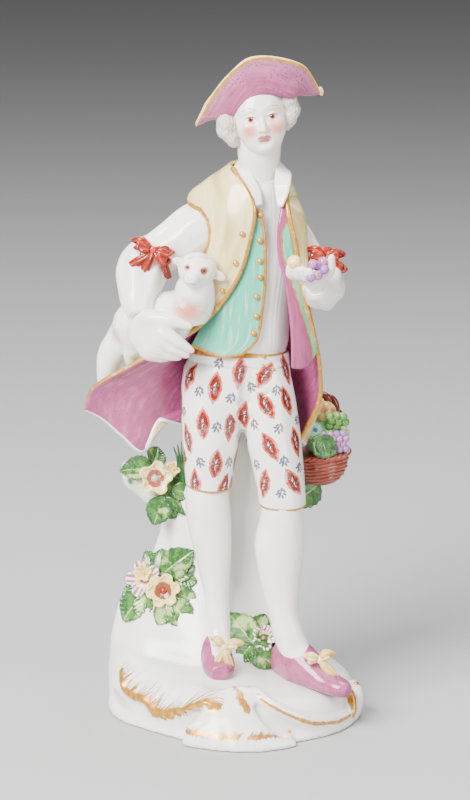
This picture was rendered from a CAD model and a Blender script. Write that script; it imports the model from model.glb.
# A glazed and painted porcelain figure of a young shepherd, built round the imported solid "figure".
# Lengths are in millimetres until a mesh is made. +Z is up, the figure faces -Y and +X is the viewer's right.

import math

import bpy
import numpy as np
import openvdb
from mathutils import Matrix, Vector
from mathutils.bvhtree import BVHTree
from mathutils.kdtree import KDTree


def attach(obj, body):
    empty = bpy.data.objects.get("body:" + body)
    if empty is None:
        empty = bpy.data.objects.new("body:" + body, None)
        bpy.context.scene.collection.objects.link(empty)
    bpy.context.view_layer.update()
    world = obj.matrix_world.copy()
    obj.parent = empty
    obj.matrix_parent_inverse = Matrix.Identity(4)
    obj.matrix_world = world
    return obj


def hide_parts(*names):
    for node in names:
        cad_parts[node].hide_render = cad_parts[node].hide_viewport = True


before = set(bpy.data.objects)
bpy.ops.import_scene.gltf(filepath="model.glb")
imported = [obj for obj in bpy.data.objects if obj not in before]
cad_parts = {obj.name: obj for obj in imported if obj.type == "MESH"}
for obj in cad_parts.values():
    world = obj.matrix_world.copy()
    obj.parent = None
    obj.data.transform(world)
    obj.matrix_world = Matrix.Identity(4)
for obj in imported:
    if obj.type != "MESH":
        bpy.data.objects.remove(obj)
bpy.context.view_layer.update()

MM = 0.001
TAU = 2 * math.pi
X, Y, Z = np.eye(3)

# Driving sizes of the mound, coat, head, hat and basket
BASE_HALF_WIDTH = 55
BASE_HALF_FRONT = 54
BASE_HALF_BACK = 47
BASE_TOP = 20.5
TOP_FALL = (-0.09, 0.04)
COAT_THICKNESS = 2.2
HEAD_CENTRE = (9.8, -5, 256)
HEAD_ROLL = math.radians(-8)
HEAD_YAW = math.radians(5)
HAT_CENTRE = (10.2, -1, 263.8)
HAT_ROLL = math.radians(-15)
HAT_CROWN = 12.6
HAT_FELT = 1.3
BASKET_CENTRE = (36, 17, 107.6)
BASKET_RADIUS = 12
BASKET_DEPTH = 13.5
BASKET_ROLL = math.radians(-3)

# Swells of the mound's foot: middle and width in degrees, and share of the reach
RIM_SWELLS = [(228, 28, -0.085), (318, 24, 0.03)]

# Where the camera stands and looks
EYE = (0, -1230.1, 407.6)
AIM = (0, 0, 134.9)
LENS = 135
SENSOR_WIDTH = 36
CLIP = (0.05, 20)

# Lights in metres: name, place, size and power, all aimed at one place
LIGHTS = [
    ("Key softbox", (-0.75, -0.95, 1.05), (0.8, 0.9), 92.0),
    ("Fill softbox", (1.0, -0.9, 0.6), (0.7, 0.9), 14.0),
    ("Top softbox", (0.1, 0.25, 1.35), (0.8, 0.6), 20.0),
]
LIGHTS_AIM = (0, 0, 0.14)
WORLD_GREY = (0.36, 0.36, 0.37, 1)
WORLD_STRENGTH = 0.42
FLOOR_HALF = 6.0
FLOOR_GREY = (0.42, 0.42, 0.42, 1)
FLOOR_ROUGHNESS = 0.8

# Spacing of the grids on which the melted parts are shaped, finer where they show more
GROUND_VOXEL = 1.0
BREECHES_VOXEL = 0.62
SHOE_VOXEL = 0.54
SLEEVE_VOXEL = 0.64
RIGHT_HAND_VOXEL = 0.42
LEFT_HAND_VOXEL = 0.4
FLEECE_VOXEL = 0.72
LAMB_VOXEL = 0.5
HEAD_VOXEL = 0.355
HAIR_VOXEL = 0.5

# How deep a hollow counts as deep, and over how many blurs it is sought
HOLLOW_DEPTH = 0.35
HOLLOW_PASSES = 8

GILT_WIDTH = 0.35
SHEET_RIM = 4
# Stands for a distance to something that isn't near
FAR = 99.0

# Stations along each limb of the stump: x, y, z, half width, half depth
TRUNK = [
    (-13, 9, 10, 41, 31), (-13, 9, 20, 39, 28), (-13, 11, 36, 36, 23), (-9.5, 13, 54, 27.6, 16),
    (-7, 15, 70, 25, 13), (-5, 15, 90, 22, 12), (-3, 14, 112, 18, 11), (-2, 12, 130, 15, 10),
]
BRANCH = [
    (-15, 14, 78, 9, 9), (-27, 14, 87, 8, 9), (-37, 13, 96, 7.5, 8), (-43.4, 13, 100.8, 7.4, 7.5),
    (-47, 13, 102.6, 4.5, 4.5),
]
BOUGH = [(2, 17, 84, 8, 7), (14, 19, 90, 6.5, 6), (26, 18, 95, 5, 5), (36, 17, 98, 4, 4)]


# Curves and small maths

def unit(vectors):
    return vectors / np.maximum(np.linalg.norm(vectors, axis=-1, keepdims=True), 1e-12)


def step(low, high, value):
    t = np.clip((value - low) / (high - low), 0, 1)
    return t * t * (3 - 2 * t)


def smooth(points, t):
    """Places on the smooth curve through points, with t from 0 to 1."""
    points = np.asarray(points, float)
    last = len(points) - 1
    t = np.clip(np.asarray(t, float), 0, 1) * last
    i = np.minimum(t.astype(int), last - 1)
    f = (t - i)[..., None]
    before = np.where((i > 0)[..., None], points[np.maximum(i - 1, 0)], 2 * points[0] - points[1])
    after = np.where((i + 2 <= last)[..., None], points[np.minimum(i + 2, last)], 2 * points[-1] - points[-2])
    a, b = points[i], points[i + 1]
    in_slope, out_slope = (b - before) / 2, (after - a) / 2
    return a + f * (in_slope + f * (3 * (b - a) - 2 * in_slope - out_slope
                                    + f * (2 * (a - b) + in_slope + out_slope)))


def thick_curve(points, radii, steps):
    """Places along the smooth curve through points, and the radius at each."""
    t = np.linspace(0, 1, steps + 1)
    return smooth(points, t), smooth(np.asarray(radii, float)[:, None], t)[:, 0]


def waves(points, size, seed):
    """Soft unevenness from -1 to 1 with features of about the given size."""
    count = 9
    rng = np.random.default_rng(seed)
    total = 0
    for _ in range(count):
        direction = unit(rng.normal(size=3))
        number = TAU / size * rng.uniform(0.6, 1.5)
        total = total + np.sin(points @ direction * number + rng.uniform(0, TAU))
    return total / (0.75 * count)


def turn(points, roll=0.0, yaw=0.0):
    """Points turned about Y, then about Z."""
    for axis, angle in ((1, roll), (2, yaw)):
        if angle:
            a, b = (axis + 1) % 3, (axis + 2) % 3
            c, s = math.cos(angle), math.sin(angle)
            turned = np.array(points, float)
            turned[..., a] = c * points[..., a] - s * points[..., b]
            turned[..., b] = s * points[..., a] + c * points[..., b]
            points = turned
    return points


def placed(points, centre, **angles):
    return turn(np.asarray(points, float), **angles) + np.asarray(centre)


def nearest_on(points, line):
    """For each point, how far along the line its nearest place lies and how far away it is."""
    line = np.asarray(line, float)
    best = np.full(len(points), np.inf)
    along = np.zeros(len(points))
    start = 0.0
    for a, b in zip(line, line[1:]):
        edge = b - a
        length = np.linalg.norm(edge)
        t = np.clip((points - a) @ edge / length ** 2, 0, 1)
        away = np.linalg.norm(points - a - t[:, None] * edge, axis=1)
        closer = away < best
        best[closer] = away[closer]
        along[closer] = (start + t * length)[closer]
        start += length
    return along, best


def beside(points, shape, names):
    """For each point near a shape, the shape's values at its nearest vertex, and FAR elsewhere."""
    reach = 2.0
    tree = KDTree(len(shape.points))
    for i, place in enumerate(shape.points):
        tree.insert(place, i)
    tree.balance()
    found = np.full((len(names), len(points)), FAR)
    near = np.all((points > shape.points.min(0) - reach) & (points < shape.points.max(0) + reach), axis=1)
    values = np.stack([shape.values[name] for name in names])
    for k in np.flatnonzero(near):
        _, i, away = tree.find(points[k])
        if away < reach:
            found[:, k] = values[:, i]
    return found


# Grids of points and their faces

def grid_faces(rows, columns, wrap=False):
    i = np.arange(rows - 1)[:, None]
    j = np.arange(columns if wrap else columns - 1)[None, :]
    k = (j + 1) % columns
    quads = np.stack([i * columns + j, i * columns + k, (i + 1) * columns + k, (i + 1) * columns + j], -1)
    return quads.reshape(-1, 4)


class Shape:
    """Points, faces, and named values at the points."""

    def __init__(self, points, faces, **values):
        self.points = np.asarray(points, float)
        self.faces = [np.asarray(f, int) for f in faces]
        self.values = {name: np.asarray(v, float) for name, v in values.items()}

    def placed(self, centre, size=1.0, **angles):
        return Shape(placed(self.points * size, centre, **angles), self.faces, **self.values)

    def normals(self):
        normals = np.zeros_like(self.points)
        for faces in self.faces:
            a, b, c = (self.points[faces[:, k]] for k in (0, 1, -1))
            face_normals = np.cross(b - a, c - a)
            for k in range(faces.shape[1]):
                for axis in range(3):
                    normals[:, axis] += np.bincount(faces[:, k], face_normals[:, axis], len(self.points))
        return unit(normals)

    def pushed(self, amount):
        """The shape with each point moved along its normal."""
        return Shape(self.points + self.normals() * np.asarray(amount)[:, None], self.faces, **self.values)


def joined(shapes):
    """One shape of several that carry the same values."""
    names = set(shapes[0].values)
    values = {n: np.concatenate([s.values[n] for s in shapes]) for n in names}
    faces = []
    offset = 0
    for shape in shapes:
        faces += [f + offset for f in shape.faces]
        offset += len(shape.points)
    return Shape(np.concatenate([s.points for s in shapes]), faces, **values)


def fan(centre, ring, flip):
    """Triangles from one point to a ring."""
    nxt = np.roll(ring, -1)
    centre = np.full(len(ring), centre)
    return np.stack([centre, nxt, ring] if flip else [centre, ring, nxt], -1)


def closed(rings, **values):
    """A closed shape from an array of rings [ring, place, xyz], with a point at each end."""
    count, sides = rings.shape[:2]
    points = np.concatenate([rings.reshape(-1, 3), [rings[0].mean(0)], [rings[-1].mean(0)]])
    end = count * sides
    faces = [grid_faces(count, sides, wrap=True),
             fan(end, np.arange(sides), True),
             fan(end + 1, np.arange(sides) + end - sides, False)]
    padded = {}
    for name, v in values.items():
        v = np.broadcast_to(v, (count, sides)).reshape(-1)
        padded[name] = np.concatenate([v, [v[:sides].mean(), v[-sides:].mean()]])
    return Shape(points, faces, **padded)


def loft(stations, across=X, sides=96, steps=100, shape=None, rounded=0.0, angles=None):
    """A closed body through oval sections (x, y, z, half width, half depth), the half width along the
    vector across. shape(angle, t) scales a section at one place. rounded is the share of a domed end."""
    stations = np.asarray(stations, float)
    t = np.linspace(0, 1, steps + 1)
    line = stations[:, :3]
    path = smooth(line, t)
    size = smooth(stations[:, 3:], t)
    along = unit(smooth(line, t + 1e-3) - smooth(line, t - 1e-3))
    side = unit(across - along * (along @ across)[:, None])
    other = np.cross(along, side)
    angle = np.linspace(0, TAU, sides, endpoint=False) if angles is None else angles
    scale = np.ones((steps + 1, len(angle))) if shape is None else shape(angle[None, :], t[:, None])
    if rounded:
        dome = np.sqrt(np.clip(1 - (1 - np.minimum(t, 1 - t) / rounded).clip(0) ** 2, 0.02, 1))
        scale = scale * dome[:, None]
    out = (side[:, None] * np.cos(angle)[None, :, None] * size[:, None, :1]
           + other[:, None] * np.sin(angle)[None, :, None] * size[:, None, 1:2])
    return closed(path[:, None] + out * scale[..., None])


def rod(points, radii, sides, steps, rounded=0.12):
    """A round bar along a curve."""
    radii = smooth(np.asarray(radii, float)[:, None], np.linspace(0, 1, len(points)))[:, 0]
    return loft([(*p, r, r) for p, r in zip(points, radii)], sides=sides, steps=steps, rounded=rounded)


def ball(centre, radii, sides, rings):
    lat = np.linspace(0, math.pi, rings + 1)[1:-1, None]
    lon = np.linspace(0, TAU, sides, endpoint=False)[None, :]
    directions = np.broadcast_arrays(np.sin(lat) * np.cos(lon), np.sin(lat) * np.sin(lon), np.cos(lat))
    rounds = np.stack(directions, -1) * np.asarray(radii) + np.asarray(centre)
    shape = closed(rounds[::-1])
    pole = np.array([0, 0, radii[2]])
    shape.points[-2] = np.asarray(centre) - pole
    shape.points[-1] = np.asarray(centre) + pole
    return shape


def drape(rows, across=120, down=100, thickness=COAT_THICKNESS, ripple=None, rim=6):
    """A sheet of cloth through rows of points, each row one smooth curve. ripple(u, v) moves it along its
    normal."""
    u = np.linspace(0, 1, across + 1)
    v = np.linspace(0, 1, down + 1)
    curves = np.stack([smooth(row, u) for row in rows])
    middle = np.stack([smooth(curves[:, i], v) for i in range(across + 1)], axis=1)
    if ripple is not None:
        normal = unit(np.cross(np.gradient(middle, axis=1), np.gradient(middle, axis=0)))
        middle = middle + normal * ripple(u[None, :], v[:, None])[..., None]
    return sheet(middle, thickness / 2, rim)


def sheet(middle, half, rim):
    """A closed sheet about a grid of points, half its thickness to each side, with a rounded rim. Its values
    are the distances to its four edges, and lining, which is 1 on the side away from its normal."""
    down, across = middle.shape[0] - 1, middle.shape[1] - 1
    normal = unit(np.cross(np.gradient(middle, axis=1), np.gradient(middle, axis=0)))
    step_u = np.linalg.norm(np.diff(middle, axis=1), axis=2)
    step_v = np.linalg.norm(np.diff(middle, axis=0), axis=2)
    run_u = np.concatenate([np.zeros((down + 1, 1)), np.cumsum(step_u, 1)], 1)
    run_v = np.concatenate([np.zeros((1, across + 1)), np.cumsum(step_v, 0)], 0)
    fields = {"first": run_u, "last": run_u[:, -1:] - run_u, "top": run_v, "hem": run_v[-1:] - run_v}
    index = np.arange((down + 1) * (across + 1)).reshape(down + 1, across + 1)
    edge = np.concatenate([index[0, :-1], index[:-1, -1], index[-1, :0:-1], index[:0:-1, 0]])
    flat_middle, flat_normal = middle.reshape(-1, 3), normal.reshape(-1, 3)
    line = flat_middle[edge]
    out = unit(np.cross(np.roll(line, -1, 0) - np.roll(line, 1, 0), flat_normal[edge]))
    points = [flat_middle + flat_normal * half]
    lining = [np.zeros(index.size)]
    for k in range(1, rim):
        angle = math.pi * (0.5 - k / rim)
        points.append(line + half * (out * math.cos(angle) + flat_normal[edge] * math.sin(angle)))
        lining.append(np.full(len(edge), k / rim))
    points.append(flat_middle - flat_normal * half)
    lining.append(np.ones(index.size))
    values = {}
    for name, field in fields.items():
        flat = field.reshape(-1)
        values[name] = np.concatenate([flat, *[flat[edge]] * (rim - 1), flat])
    quads = grid_faces(down + 1, across + 1)
    n, m = index.size, len(edge)
    loops = [edge] + [n + (k - 1) * m + np.arange(m) for k in range(1, rim)] + [edge + n + (rim - 1) * m]
    strips = [np.stack([a, np.roll(a, -1), np.roll(b, -1), b], -1) for a, b in zip(loops, loops[1:])]
    faces = np.concatenate([quads[:, ::-1], *strips, quads + n + (rim - 1) * m])
    return Shape(np.concatenate(points), [faces[:, ::-1]], lining=np.concatenate(lining), **values)


# Solids as distance fields, for parts that melt into each other

class Field:
    """Signed distances on a regular grid between two corners."""

    def __init__(self, low, high, voxel):
        self.low = np.asarray(low, float)
        self.voxel = voxel
        counts = np.ceil((np.asarray(high, float) - self.low) / voxel).astype(int) + 1
        self.far = 8 * voxel
        self.values = np.full(counts, self.far, np.float32)

    def window(self, low, high):
        """The part of the grid between two corners, and its places."""
        a = np.clip(np.floor((low - self.low) / self.voxel).astype(int), 0, self.values.shape)
        b = np.clip(np.ceil((high - self.low) / self.voxel).astype(int) + 1, 0, self.values.shape)
        part = tuple(slice(p, q) for p, q in zip(a, b))
        axes = [self.low[k] + self.voxel * np.arange(a[k], b[k]) for k in range(3)]
        return part, np.stack(np.meshgrid(*axes, indexing="ij"), -1)

    def merge(self, part, distance, blend, cut=False):
        """Adds a solid, or cuts it away, with a soft joint as wide as blend."""
        now = self.values[part]
        distance = distance.astype(np.float32)
        if cut:
            now = -now
        if blend:
            h = np.maximum(blend - np.abs(now - distance), 0) / blend
            merged = np.minimum(now, distance) - h * h * blend / 4
        else:
            merged = np.minimum(now, distance)
        self.values[part] = -merged if cut else merged

    def cone(self, a, b, radius_a, radius_b, blend=0.0, cut=False):
        a, b = np.asarray(a, float), np.asarray(b, float)
        reach = max(radius_a, radius_b) + blend + 4 * self.voxel
        part, points = self.window(np.minimum(a, b) - reach, np.maximum(a, b) + reach)
        edge = b - a
        t = np.clip((points - a) @ edge / max(edge @ edge, 1e-9), 0, 1)
        away = np.linalg.norm(points - a - t[..., None] * edge, axis=-1)
        self.merge(part, away - (radius_a + t * (radius_b - radius_a)), blend, cut)

    def chain(self, points, radii, blend=0.0, steps=10, cut=False):
        """A bar along a curve, in cones that melt a little into each other."""
        path, size = thick_curve(points, radii, steps)
        for i in range(steps):
            joint = blend if i == 0 else min(blend, 0.3 * size[i])
            self.cone(path[i], path[i + 1], size[i], size[i + 1], joint, cut)

    def channel(self, points, radii, blend):
        """Cuts a soft groove along a curve."""
        path, size = thick_curve(points, radii, 24)
        reach = size.max() + blend + 4 * self.voxel
        part, places = self.window(path.min(0) - reach, path.max(0) + reach)
        distance = np.full(places.shape[:3], FAR)
        for start, end, start_size, end_size in zip(path, path[1:], size, size[1:]):
            edge = end - start
            along = np.clip((places - start) @ edge / (edge @ edge), 0, 1)
            away = np.linalg.norm(places - start - along[..., None] * edge, axis=-1)
            distance = np.minimum(distance, away - start_size - along * (end_size - start_size))
        self.merge(part, distance, blend, cut=True)

    def oval(self, centre, radii, blend=0.0, cut=False, **angles):
        radii = np.asarray(radii, float)
        reach = radii.max() + blend + 4 * self.voxel
        part, points = self.window(np.asarray(centre) - reach, np.asarray(centre) + reach)
        local = points - np.asarray(centre)
        if angles:
            local = local @ turn(np.eye(3), **angles).T
        scaled = np.linalg.norm(local / radii, axis=-1)
        slope = np.linalg.norm(local / radii ** 2, axis=-1)
        self.merge(part, scaled * (scaled - 1) / np.maximum(slope, 1e-6), blend, cut)

    def body(self, shape, blend=0.0):
        """Adds a closed shape."""
        reach = blend + 6 * self.voxel
        part, _ = self.window(shape.points.min(0) - reach, shape.points.max(0) + reach)
        start = np.array([s.start for s in part])
        points = ((shape.points - self.low) / self.voxel - start).astype(np.float32)
        quads = [f for f in shape.faces if f.shape[1] == 4]
        tris = [f for f in shape.faces if f.shape[1] == 3]
        grid = openvdb.FloatGrid.createLevelSetFromPolygons(
            points,
            triangles=np.concatenate(tris).astype(np.uint32) if tris else None,
            quads=np.concatenate(quads).astype(np.uint32) if quads else None,
            transform=openvdb.createLinearTransform(voxelSize=1.0),
            halfWidth=max(4, math.ceil(blend / self.voxel) + 3),
        )
        distance = np.zeros([s.stop - s.start for s in part], np.float32)
        grid.copyToArray(distance)
        self.merge(part, distance * self.voxel, blend)

    def soften(self, passes=1):
        """Blurs the distances a little, which rounds every edge."""
        for _ in range(passes):
            for axis in range(3):
                v = self.values
                self.values = (np.roll(v, 1, axis) + 2 * v + np.roll(v, -1, axis)) / 4

    def sample(self, values, points):
        """Grid values at any places."""
        place = (points - self.low) / self.voxel
        i = np.clip(place.astype(int), 0, np.array(values.shape) - 2)
        f = place - i
        total = 0
        for corner in np.ndindex(2, 2, 2):
            weight = np.prod(np.where(corner, f, 1 - f), axis=1)
            total = total + weight * values[tuple((i + corner).T)]
        return total

    def hollow(self, points):
        """0 on a flat or bulging surface, and more the tighter it is hollowed."""
        kept = self.values
        self.values = np.clip(kept, -self.far, self.far)
        self.soften(HOLLOW_PASSES)
        found = self.sample(self.values, points)
        self.values = kept
        return np.clip(-found / HOLLOW_DEPTH, 0, 3)

    def shape(self):
        """The surface where the distance is 0."""
        grid = openvdb.FloatGrid(self.far)
        grid.copyFromArray(np.clip(self.values, -self.far, self.far))
        points, quads = grid.convertToQuads()
        return Shape(points * self.voxel + self.low, [quads])


# Meshes and pieces

def linked(name, data):
    """A new object in the scene."""
    item = bpy.data.objects.new(name, data)
    bpy.context.scene.collection.objects.link(item)
    return item


def build(name, shape, material):
    """A Blender mesh from a shape, riding on the figure's body and standing for its solid."""
    name = name.lower().replace(" ", "_")
    mesh = bpy.data.meshes.new(name)
    sizes = np.concatenate([np.full(len(f), f.shape[1]) for f in shape.faces])
    corners = np.concatenate([f.reshape(-1) for f in shape.faces])
    mesh.vertices.add(len(shape.points))
    mesh.vertices.foreach_set("co", (shape.points * MM).astype(np.float32).reshape(-1))
    mesh.loops.add(len(corners))
    mesh.loops.foreach_set("vertex_index", corners.astype(np.int32))
    mesh.polygons.add(len(sizes))
    mesh.polygons.foreach_set("loop_start", np.concatenate([[0], np.cumsum(sizes)[:-1]]).astype(np.int32))
    mesh.update(calc_edges=True)
    mesh.validate()
    mesh.polygons.foreach_set("use_smooth", np.ones(len(mesh.polygons), bool))
    for key, value in shape.values.items():
        attribute = mesh.attributes.new(key, "FLOAT", "POINT")
        attribute.data.foreach_set("value", value.astype(np.float32))
    mesh.materials.append(material)
    piece = linked(name, mesh)
    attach(piece, "root")
    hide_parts("figure")


# Paints

def colour(code):
    """A web colour as linear red, green and blue."""
    parts = [int(code[k:k + 2], 16) / 255 for k in (1, 3, 5)]
    return tuple(c / 12.92 if c <= 0.04045 else ((c + 0.055) / 1.055) ** 2.4 for c in parts)


GLAZE = colour("#f3f1eb")
POOLED = colour("#b9bdae")
CREAM = colour("#e8d496")
OLIVE = colour("#b39c58")
PUCE = colour("#a14c74")
DEEP_PUCE = colour("#6e2c56")
PALE_PUCE = colour("#c57d9f")
TURQUOISE = colour("#58b89b")
TEAL = colour("#2f8f7c")
RED = colour("#93260f")
IRON_RED = colour("#bd471a")
ORANGE_RED = colour("#bf3a22")
DARK_RED = colour("#6d120c")
INK = colour("#37303f")
SLATE = colour("#463f56")
GREEN = colour("#4f8438")
DARK_GREEN = colour("#234a24")
LIGHT_GREEN = colour("#b9cd82")
YELLOW = colour("#f1d98c")
STRAW = colour("#dcb45a")
BROWN = colour("#6f3a22")
UMBER = colour("#2c140d")
FLESH = colour("#f3e9df")
ROSE = colour("#dd7a58")
CORAL = colour("#c8543e")
GOLD = colour("#cf9439")
PALE_GOLD = colour("#efd08a")
DARK_GOLD = colour("#7d4c1c")
GRAPE = colour("#9a6fa8")
PEAR = colour("#7fc0a0")
BLUE = colour("#3c4f86")
SHOE_LIGHT = colour("#b4688c")
LEAF_VEIN = colour("#dfe8b8")
PALE_YELLOW = colour("#f3e3a0")
POWDER = colour("#d0c9bd")
POWDER_SHADE = colour("#a39a8d")
POWDER_STRAND = colour("#a89c8d")
POWDER_WARM = colour("#c4b8a8")
WICKER = colour("#a04b38")
WICKER_SHADE = colour("#6b2d20")
WICKER_LIGHT = colour("#b9705a")
HANDLE = colour("#6e2a22")
HANDLE_SHADE = colour("#3f1714")
HANDLE_LIGHT = colour("#8f4636")

# Gloss and refraction of the enamels, and how far gilding is metal
GLOSS = 0.13
GLASS_IOR = 1.52
GILT_METAL = 0.55
GILT_ROUGHNESS = 0.34


class Paint:
    """A glossy enamel: a ground colour with layers painted over it where a mask says so."""

    def __init__(self, name, ground, roughness=GLOSS):
        self.material = bpy.data.materials.new(name)
        self.material.use_nodes = True
        self.nodes = self.material.node_tree.nodes
        self.links = self.material.node_tree.links
        self.shader = self.nodes["Principled BSDF"]
        self.shader.inputs["Roughness"].default_value = roughness
        self.shader.inputs["IOR"].default_value = GLASS_IOR
        self.shader.inputs["Base Color"].default_value = (*ground, 1)
        self.base = ground
        self.gold = None
        self.roughness = roughness
        self.coordinates = self.nodes.new("ShaderNodeTexCoord").outputs["Object"]

    def put(self, socket, value):
        """Links a socket, or sets a colour or a number on it."""
        if isinstance(value, bpy.types.NodeSocket):
            self.links.new(value, socket)
        elif isinstance(value, tuple):
            socket.default_value = (*value, 1)
        else:
            socket.default_value = value

    def math(self, operation, a, b=0.0):
        node = self.nodes.new("ShaderNodeMath")
        node.operation = operation
        self.put(node.inputs[0], a)
        self.put(node.inputs[1], b)
        return node.outputs[0]

    def plus(self, a, b):
        return self.math("ADD", a, b)

    def minus(self, a, b):
        return self.math("SUBTRACT", a, b)

    def times(self, a, b):
        return self.math("MULTIPLY", a, b)

    def size_of(self, a):
        return self.math("ABSOLUTE", a)

    def value(self, name):
        """A mesh value by its name."""
        node = self.nodes.new("ShaderNodeAttribute")
        node.attribute_name = name
        return node.outputs["Fac"]

    def vector(self, x, y):
        node = self.nodes.new("ShaderNodeCombineXYZ")
        for socket, part in zip(node.inputs, (x, y)):
            self.put(socket, part)
        return node.outputs[0]

    def streaks(self, across, width, along, length, detail=2):
        """Noise that runs along two mesh values, its features stretched to a width and a length."""
        sides = [self.times(self.value(name), 1 / size) for name, size in ((across, width), (along, length))]
        return self.noise(vector=self.vector(*sides), detail=detail)

    def space(self, size, stretch=(1, 1, 1)):
        """Places in the object, in units of a size in millimetres."""
        mapping = self.nodes.new("ShaderNodeMapping")
        mapping.inputs["Scale"].default_value = [s / (size * MM) for s in stretch]
        self.links.new(self.coordinates, mapping.inputs["Vector"])
        return mapping.outputs[0]

    def noise(self, size=None, vector=None, detail=2.0, stretch=(1, 1, 1)):
        """Noise about a half. size is in millimetres when it fills space."""
        node = self.nodes.new("ShaderNodeTexNoise")
        node.inputs["Detail"].default_value = detail
        if vector is None:
            vector = self.space(size, stretch)
        self.links.new(vector, node.inputs["Vector"])
        node.inputs["Scale"].default_value = 1.0
        return node.outputs["Fac"]

    def ramp(self, value, low, high, from_value=0.0, to_value=1.0):
        """A soft step from one value to another, where value goes from low to high."""
        node = self.nodes.new("ShaderNodeMapRange")
        node.interpolation_type = "SMOOTHSTEP"
        self.put(node.inputs["Value"], value)
        node.inputs["From Min"].default_value = low
        node.inputs["From Max"].default_value = high
        node.inputs["To Min"].default_value = from_value
        node.inputs["To Max"].default_value = to_value
        return node.outputs[0]

    def clouds(self, size, low, high, detail=2.0):
        """A mask of soft blots about a size in millimetres."""
        return self.ramp(self.noise(size=size, detail=detail), low, high)

    def below(self, value, limit, soft=0.15):
        return self.ramp(value, limit - soft, limit + soft, 1.0, 0.0)

    def ragged(self, size, depth=0.5, detail=2.0):
        """Noise about 0, for an edge that isn't quite straight."""
        return self.times(self.minus(self.noise(size=size, detail=detail), 0.5), depth)

    def over(self, mask, paint, strength=1.0):
        """Paints a colour over what is there."""
        if strength != 1.0:
            mask = self.times(mask, strength)
        node = self.nodes.new("ShaderNodeMix")
        node.data_type = "RGBA"
        self.put(node.inputs[0], mask)
        self.put(node.inputs[6], self.base)
        self.put(node.inputs[7], paint)
        self.base = node.outputs[2]
        return self

    def near(self, name, limit, soft, paint, strength=1.0):
        """Paints where a mesh value is below a limit."""
        self.over(self.below(self.value(name), limit, soft), paint, strength)

    def graded(self, name, low, high, paint, strength=1.0):
        """Paints more and more as a mesh value goes from low to high."""
        self.over(self.ramp(self.value(name), low, high), paint, strength)

    def blots(self, size, low, high, paint, strength, detail=2.0):
        """Paints in soft blots."""
        self.over(self.clouds(size, low, high, detail), paint, strength)

    def gild(self, mask):
        """Burnished gold, paler and browner in places, with a thin dark edge."""
        worn = self.noise(size=1.8, detail=3)
        edge = self.times(self.ramp(mask, 0.0, 0.3), self.ramp(mask, 0.3, 0.8, 1.0, 0.0))
        self.over(mask, GOLD)
        self.over(self.times(mask, self.ramp(worn, 0.45, 0.3)), PALE_GOLD, 0.6)
        self.over(self.times(mask, self.ramp(worn, 0.52, 0.75)), DARK_GOLD, 0.5)
        self.over(edge, DARK_GOLD, 0.55)
        self.gold = mask if self.gold is None else self.math("MAXIMUM", self.gold, mask)

    def speckles(self, size, amount):
        """Fine specks, more in some places than others."""
        node = self.nodes.new("ShaderNodeTexVoronoi")
        self.links.new(self.space(size), node.inputs["Vector"])
        node.inputs["Scale"].default_value = 1.0
        spots = self.below(node.outputs["Distance"], amount, 0.05)
        return self.times(spots, self.ramp(self.noise(size=9), 0.4, 0.6))

    def bump(self, height, depth=0.05):
        """height from 0 to 1 stands for depth millimetres."""
        node = self.nodes.new("ShaderNodeBump")
        node.inputs["Strength"].default_value = 1.0
        node.inputs["Distance"].default_value = depth * MM
        self.put(node.inputs["Height"], height)
        self.links.new(node.outputs[0], self.shader.inputs["Normal"])

    def done(self):
        """The finished material."""
        if isinstance(self.base, bpy.types.NodeSocket):
            self.links.new(self.base, self.shader.inputs["Base Color"])
        if self.gold is not None:
            self.put(self.shader.inputs["Metallic"], self.times(self.gold, GILT_METAL))
            self.put(self.shader.inputs["Roughness"],
                     self.ramp(self.gold, 0, 1, self.roughness, GILT_ROUGHNESS))
        return self.material


def pooled(paint):
    """Glaze that is greyer and greener where it has run together."""
    paint.graded("hollow", 0.05, 0.9, POOLED, 0.55)
    paint.blots(16, 0.45, 0.75, POOLED, 0.12, 1)


def glaze():
    paint = Paint("White glaze", GLAZE)
    pooled(paint)
    paint.bump(paint.noise(size=5, detail=1), 0.06)
    return paint.done()


# Camera, light and floor

def aimed(item, place, aim):
    """Puts an object at a place and turns it towards another."""
    item.location = place
    item.rotation_euler = (Vector(aim) - item.location).to_track_quat("-Z", "Y").to_euler()


def set_stage():
    """The camera, the lights, the grey surroundings and the paper floor."""
    lens = bpy.data.cameras.new("Camera")
    lens.lens = LENS
    lens.sensor_width = SENSOR_WIDTH
    lens.clip_start, lens.clip_end = CLIP
    camera = linked("Camera", lens)
    aimed(camera, Vector(EYE) * MM, Vector(AIM) * MM)
    bpy.context.scene.camera = camera
    for name, place, size, power in LIGHTS:
        light = bpy.data.lights.new(name, "AREA")
        light.shape = "RECTANGLE"
        light.size, light.size_y = size
        light.energy = power
        lamp = linked(name, light)
        aimed(lamp, place, LIGHTS_AIM)
    world = bpy.data.worlds.new("Studio")
    world.use_nodes = True
    background = world.node_tree.nodes["Background"]
    background.inputs["Color"].default_value = WORLD_GREY
    background.inputs["Strength"].default_value = WORLD_STRENGTH
    bpy.context.scene.world = world
    sheet_mesh = bpy.data.meshes.new("Floor")
    corners = [(x * FLOOR_HALF, y * FLOOR_HALF, 0) for x, y in ((-1, -1), (1, -1), (1, 1), (-1, 1))]
    sheet_mesh.from_pydata(corners, [], [(0, 1, 2, 3)])
    paper = bpy.data.materials.new("Floor paper")
    paper.use_nodes = True
    shader = paper.node_tree.nodes["Principled BSDF"]
    shader.inputs["Base Color"].default_value = FLOOR_GREY
    shader.inputs["Roughness"].default_value = FLOOR_ROUGHNESS
    sheet_mesh.materials.append(paper)
    linked("Floor", sheet_mesh)


# The ground: mound, scrollwork, tree stump and boughs in one

def top_height(x, y):
    """Height of the mound's sloping top."""
    return BASE_TOP + TOP_FALL[0] * x + TOP_FALL[1] * y


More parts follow.
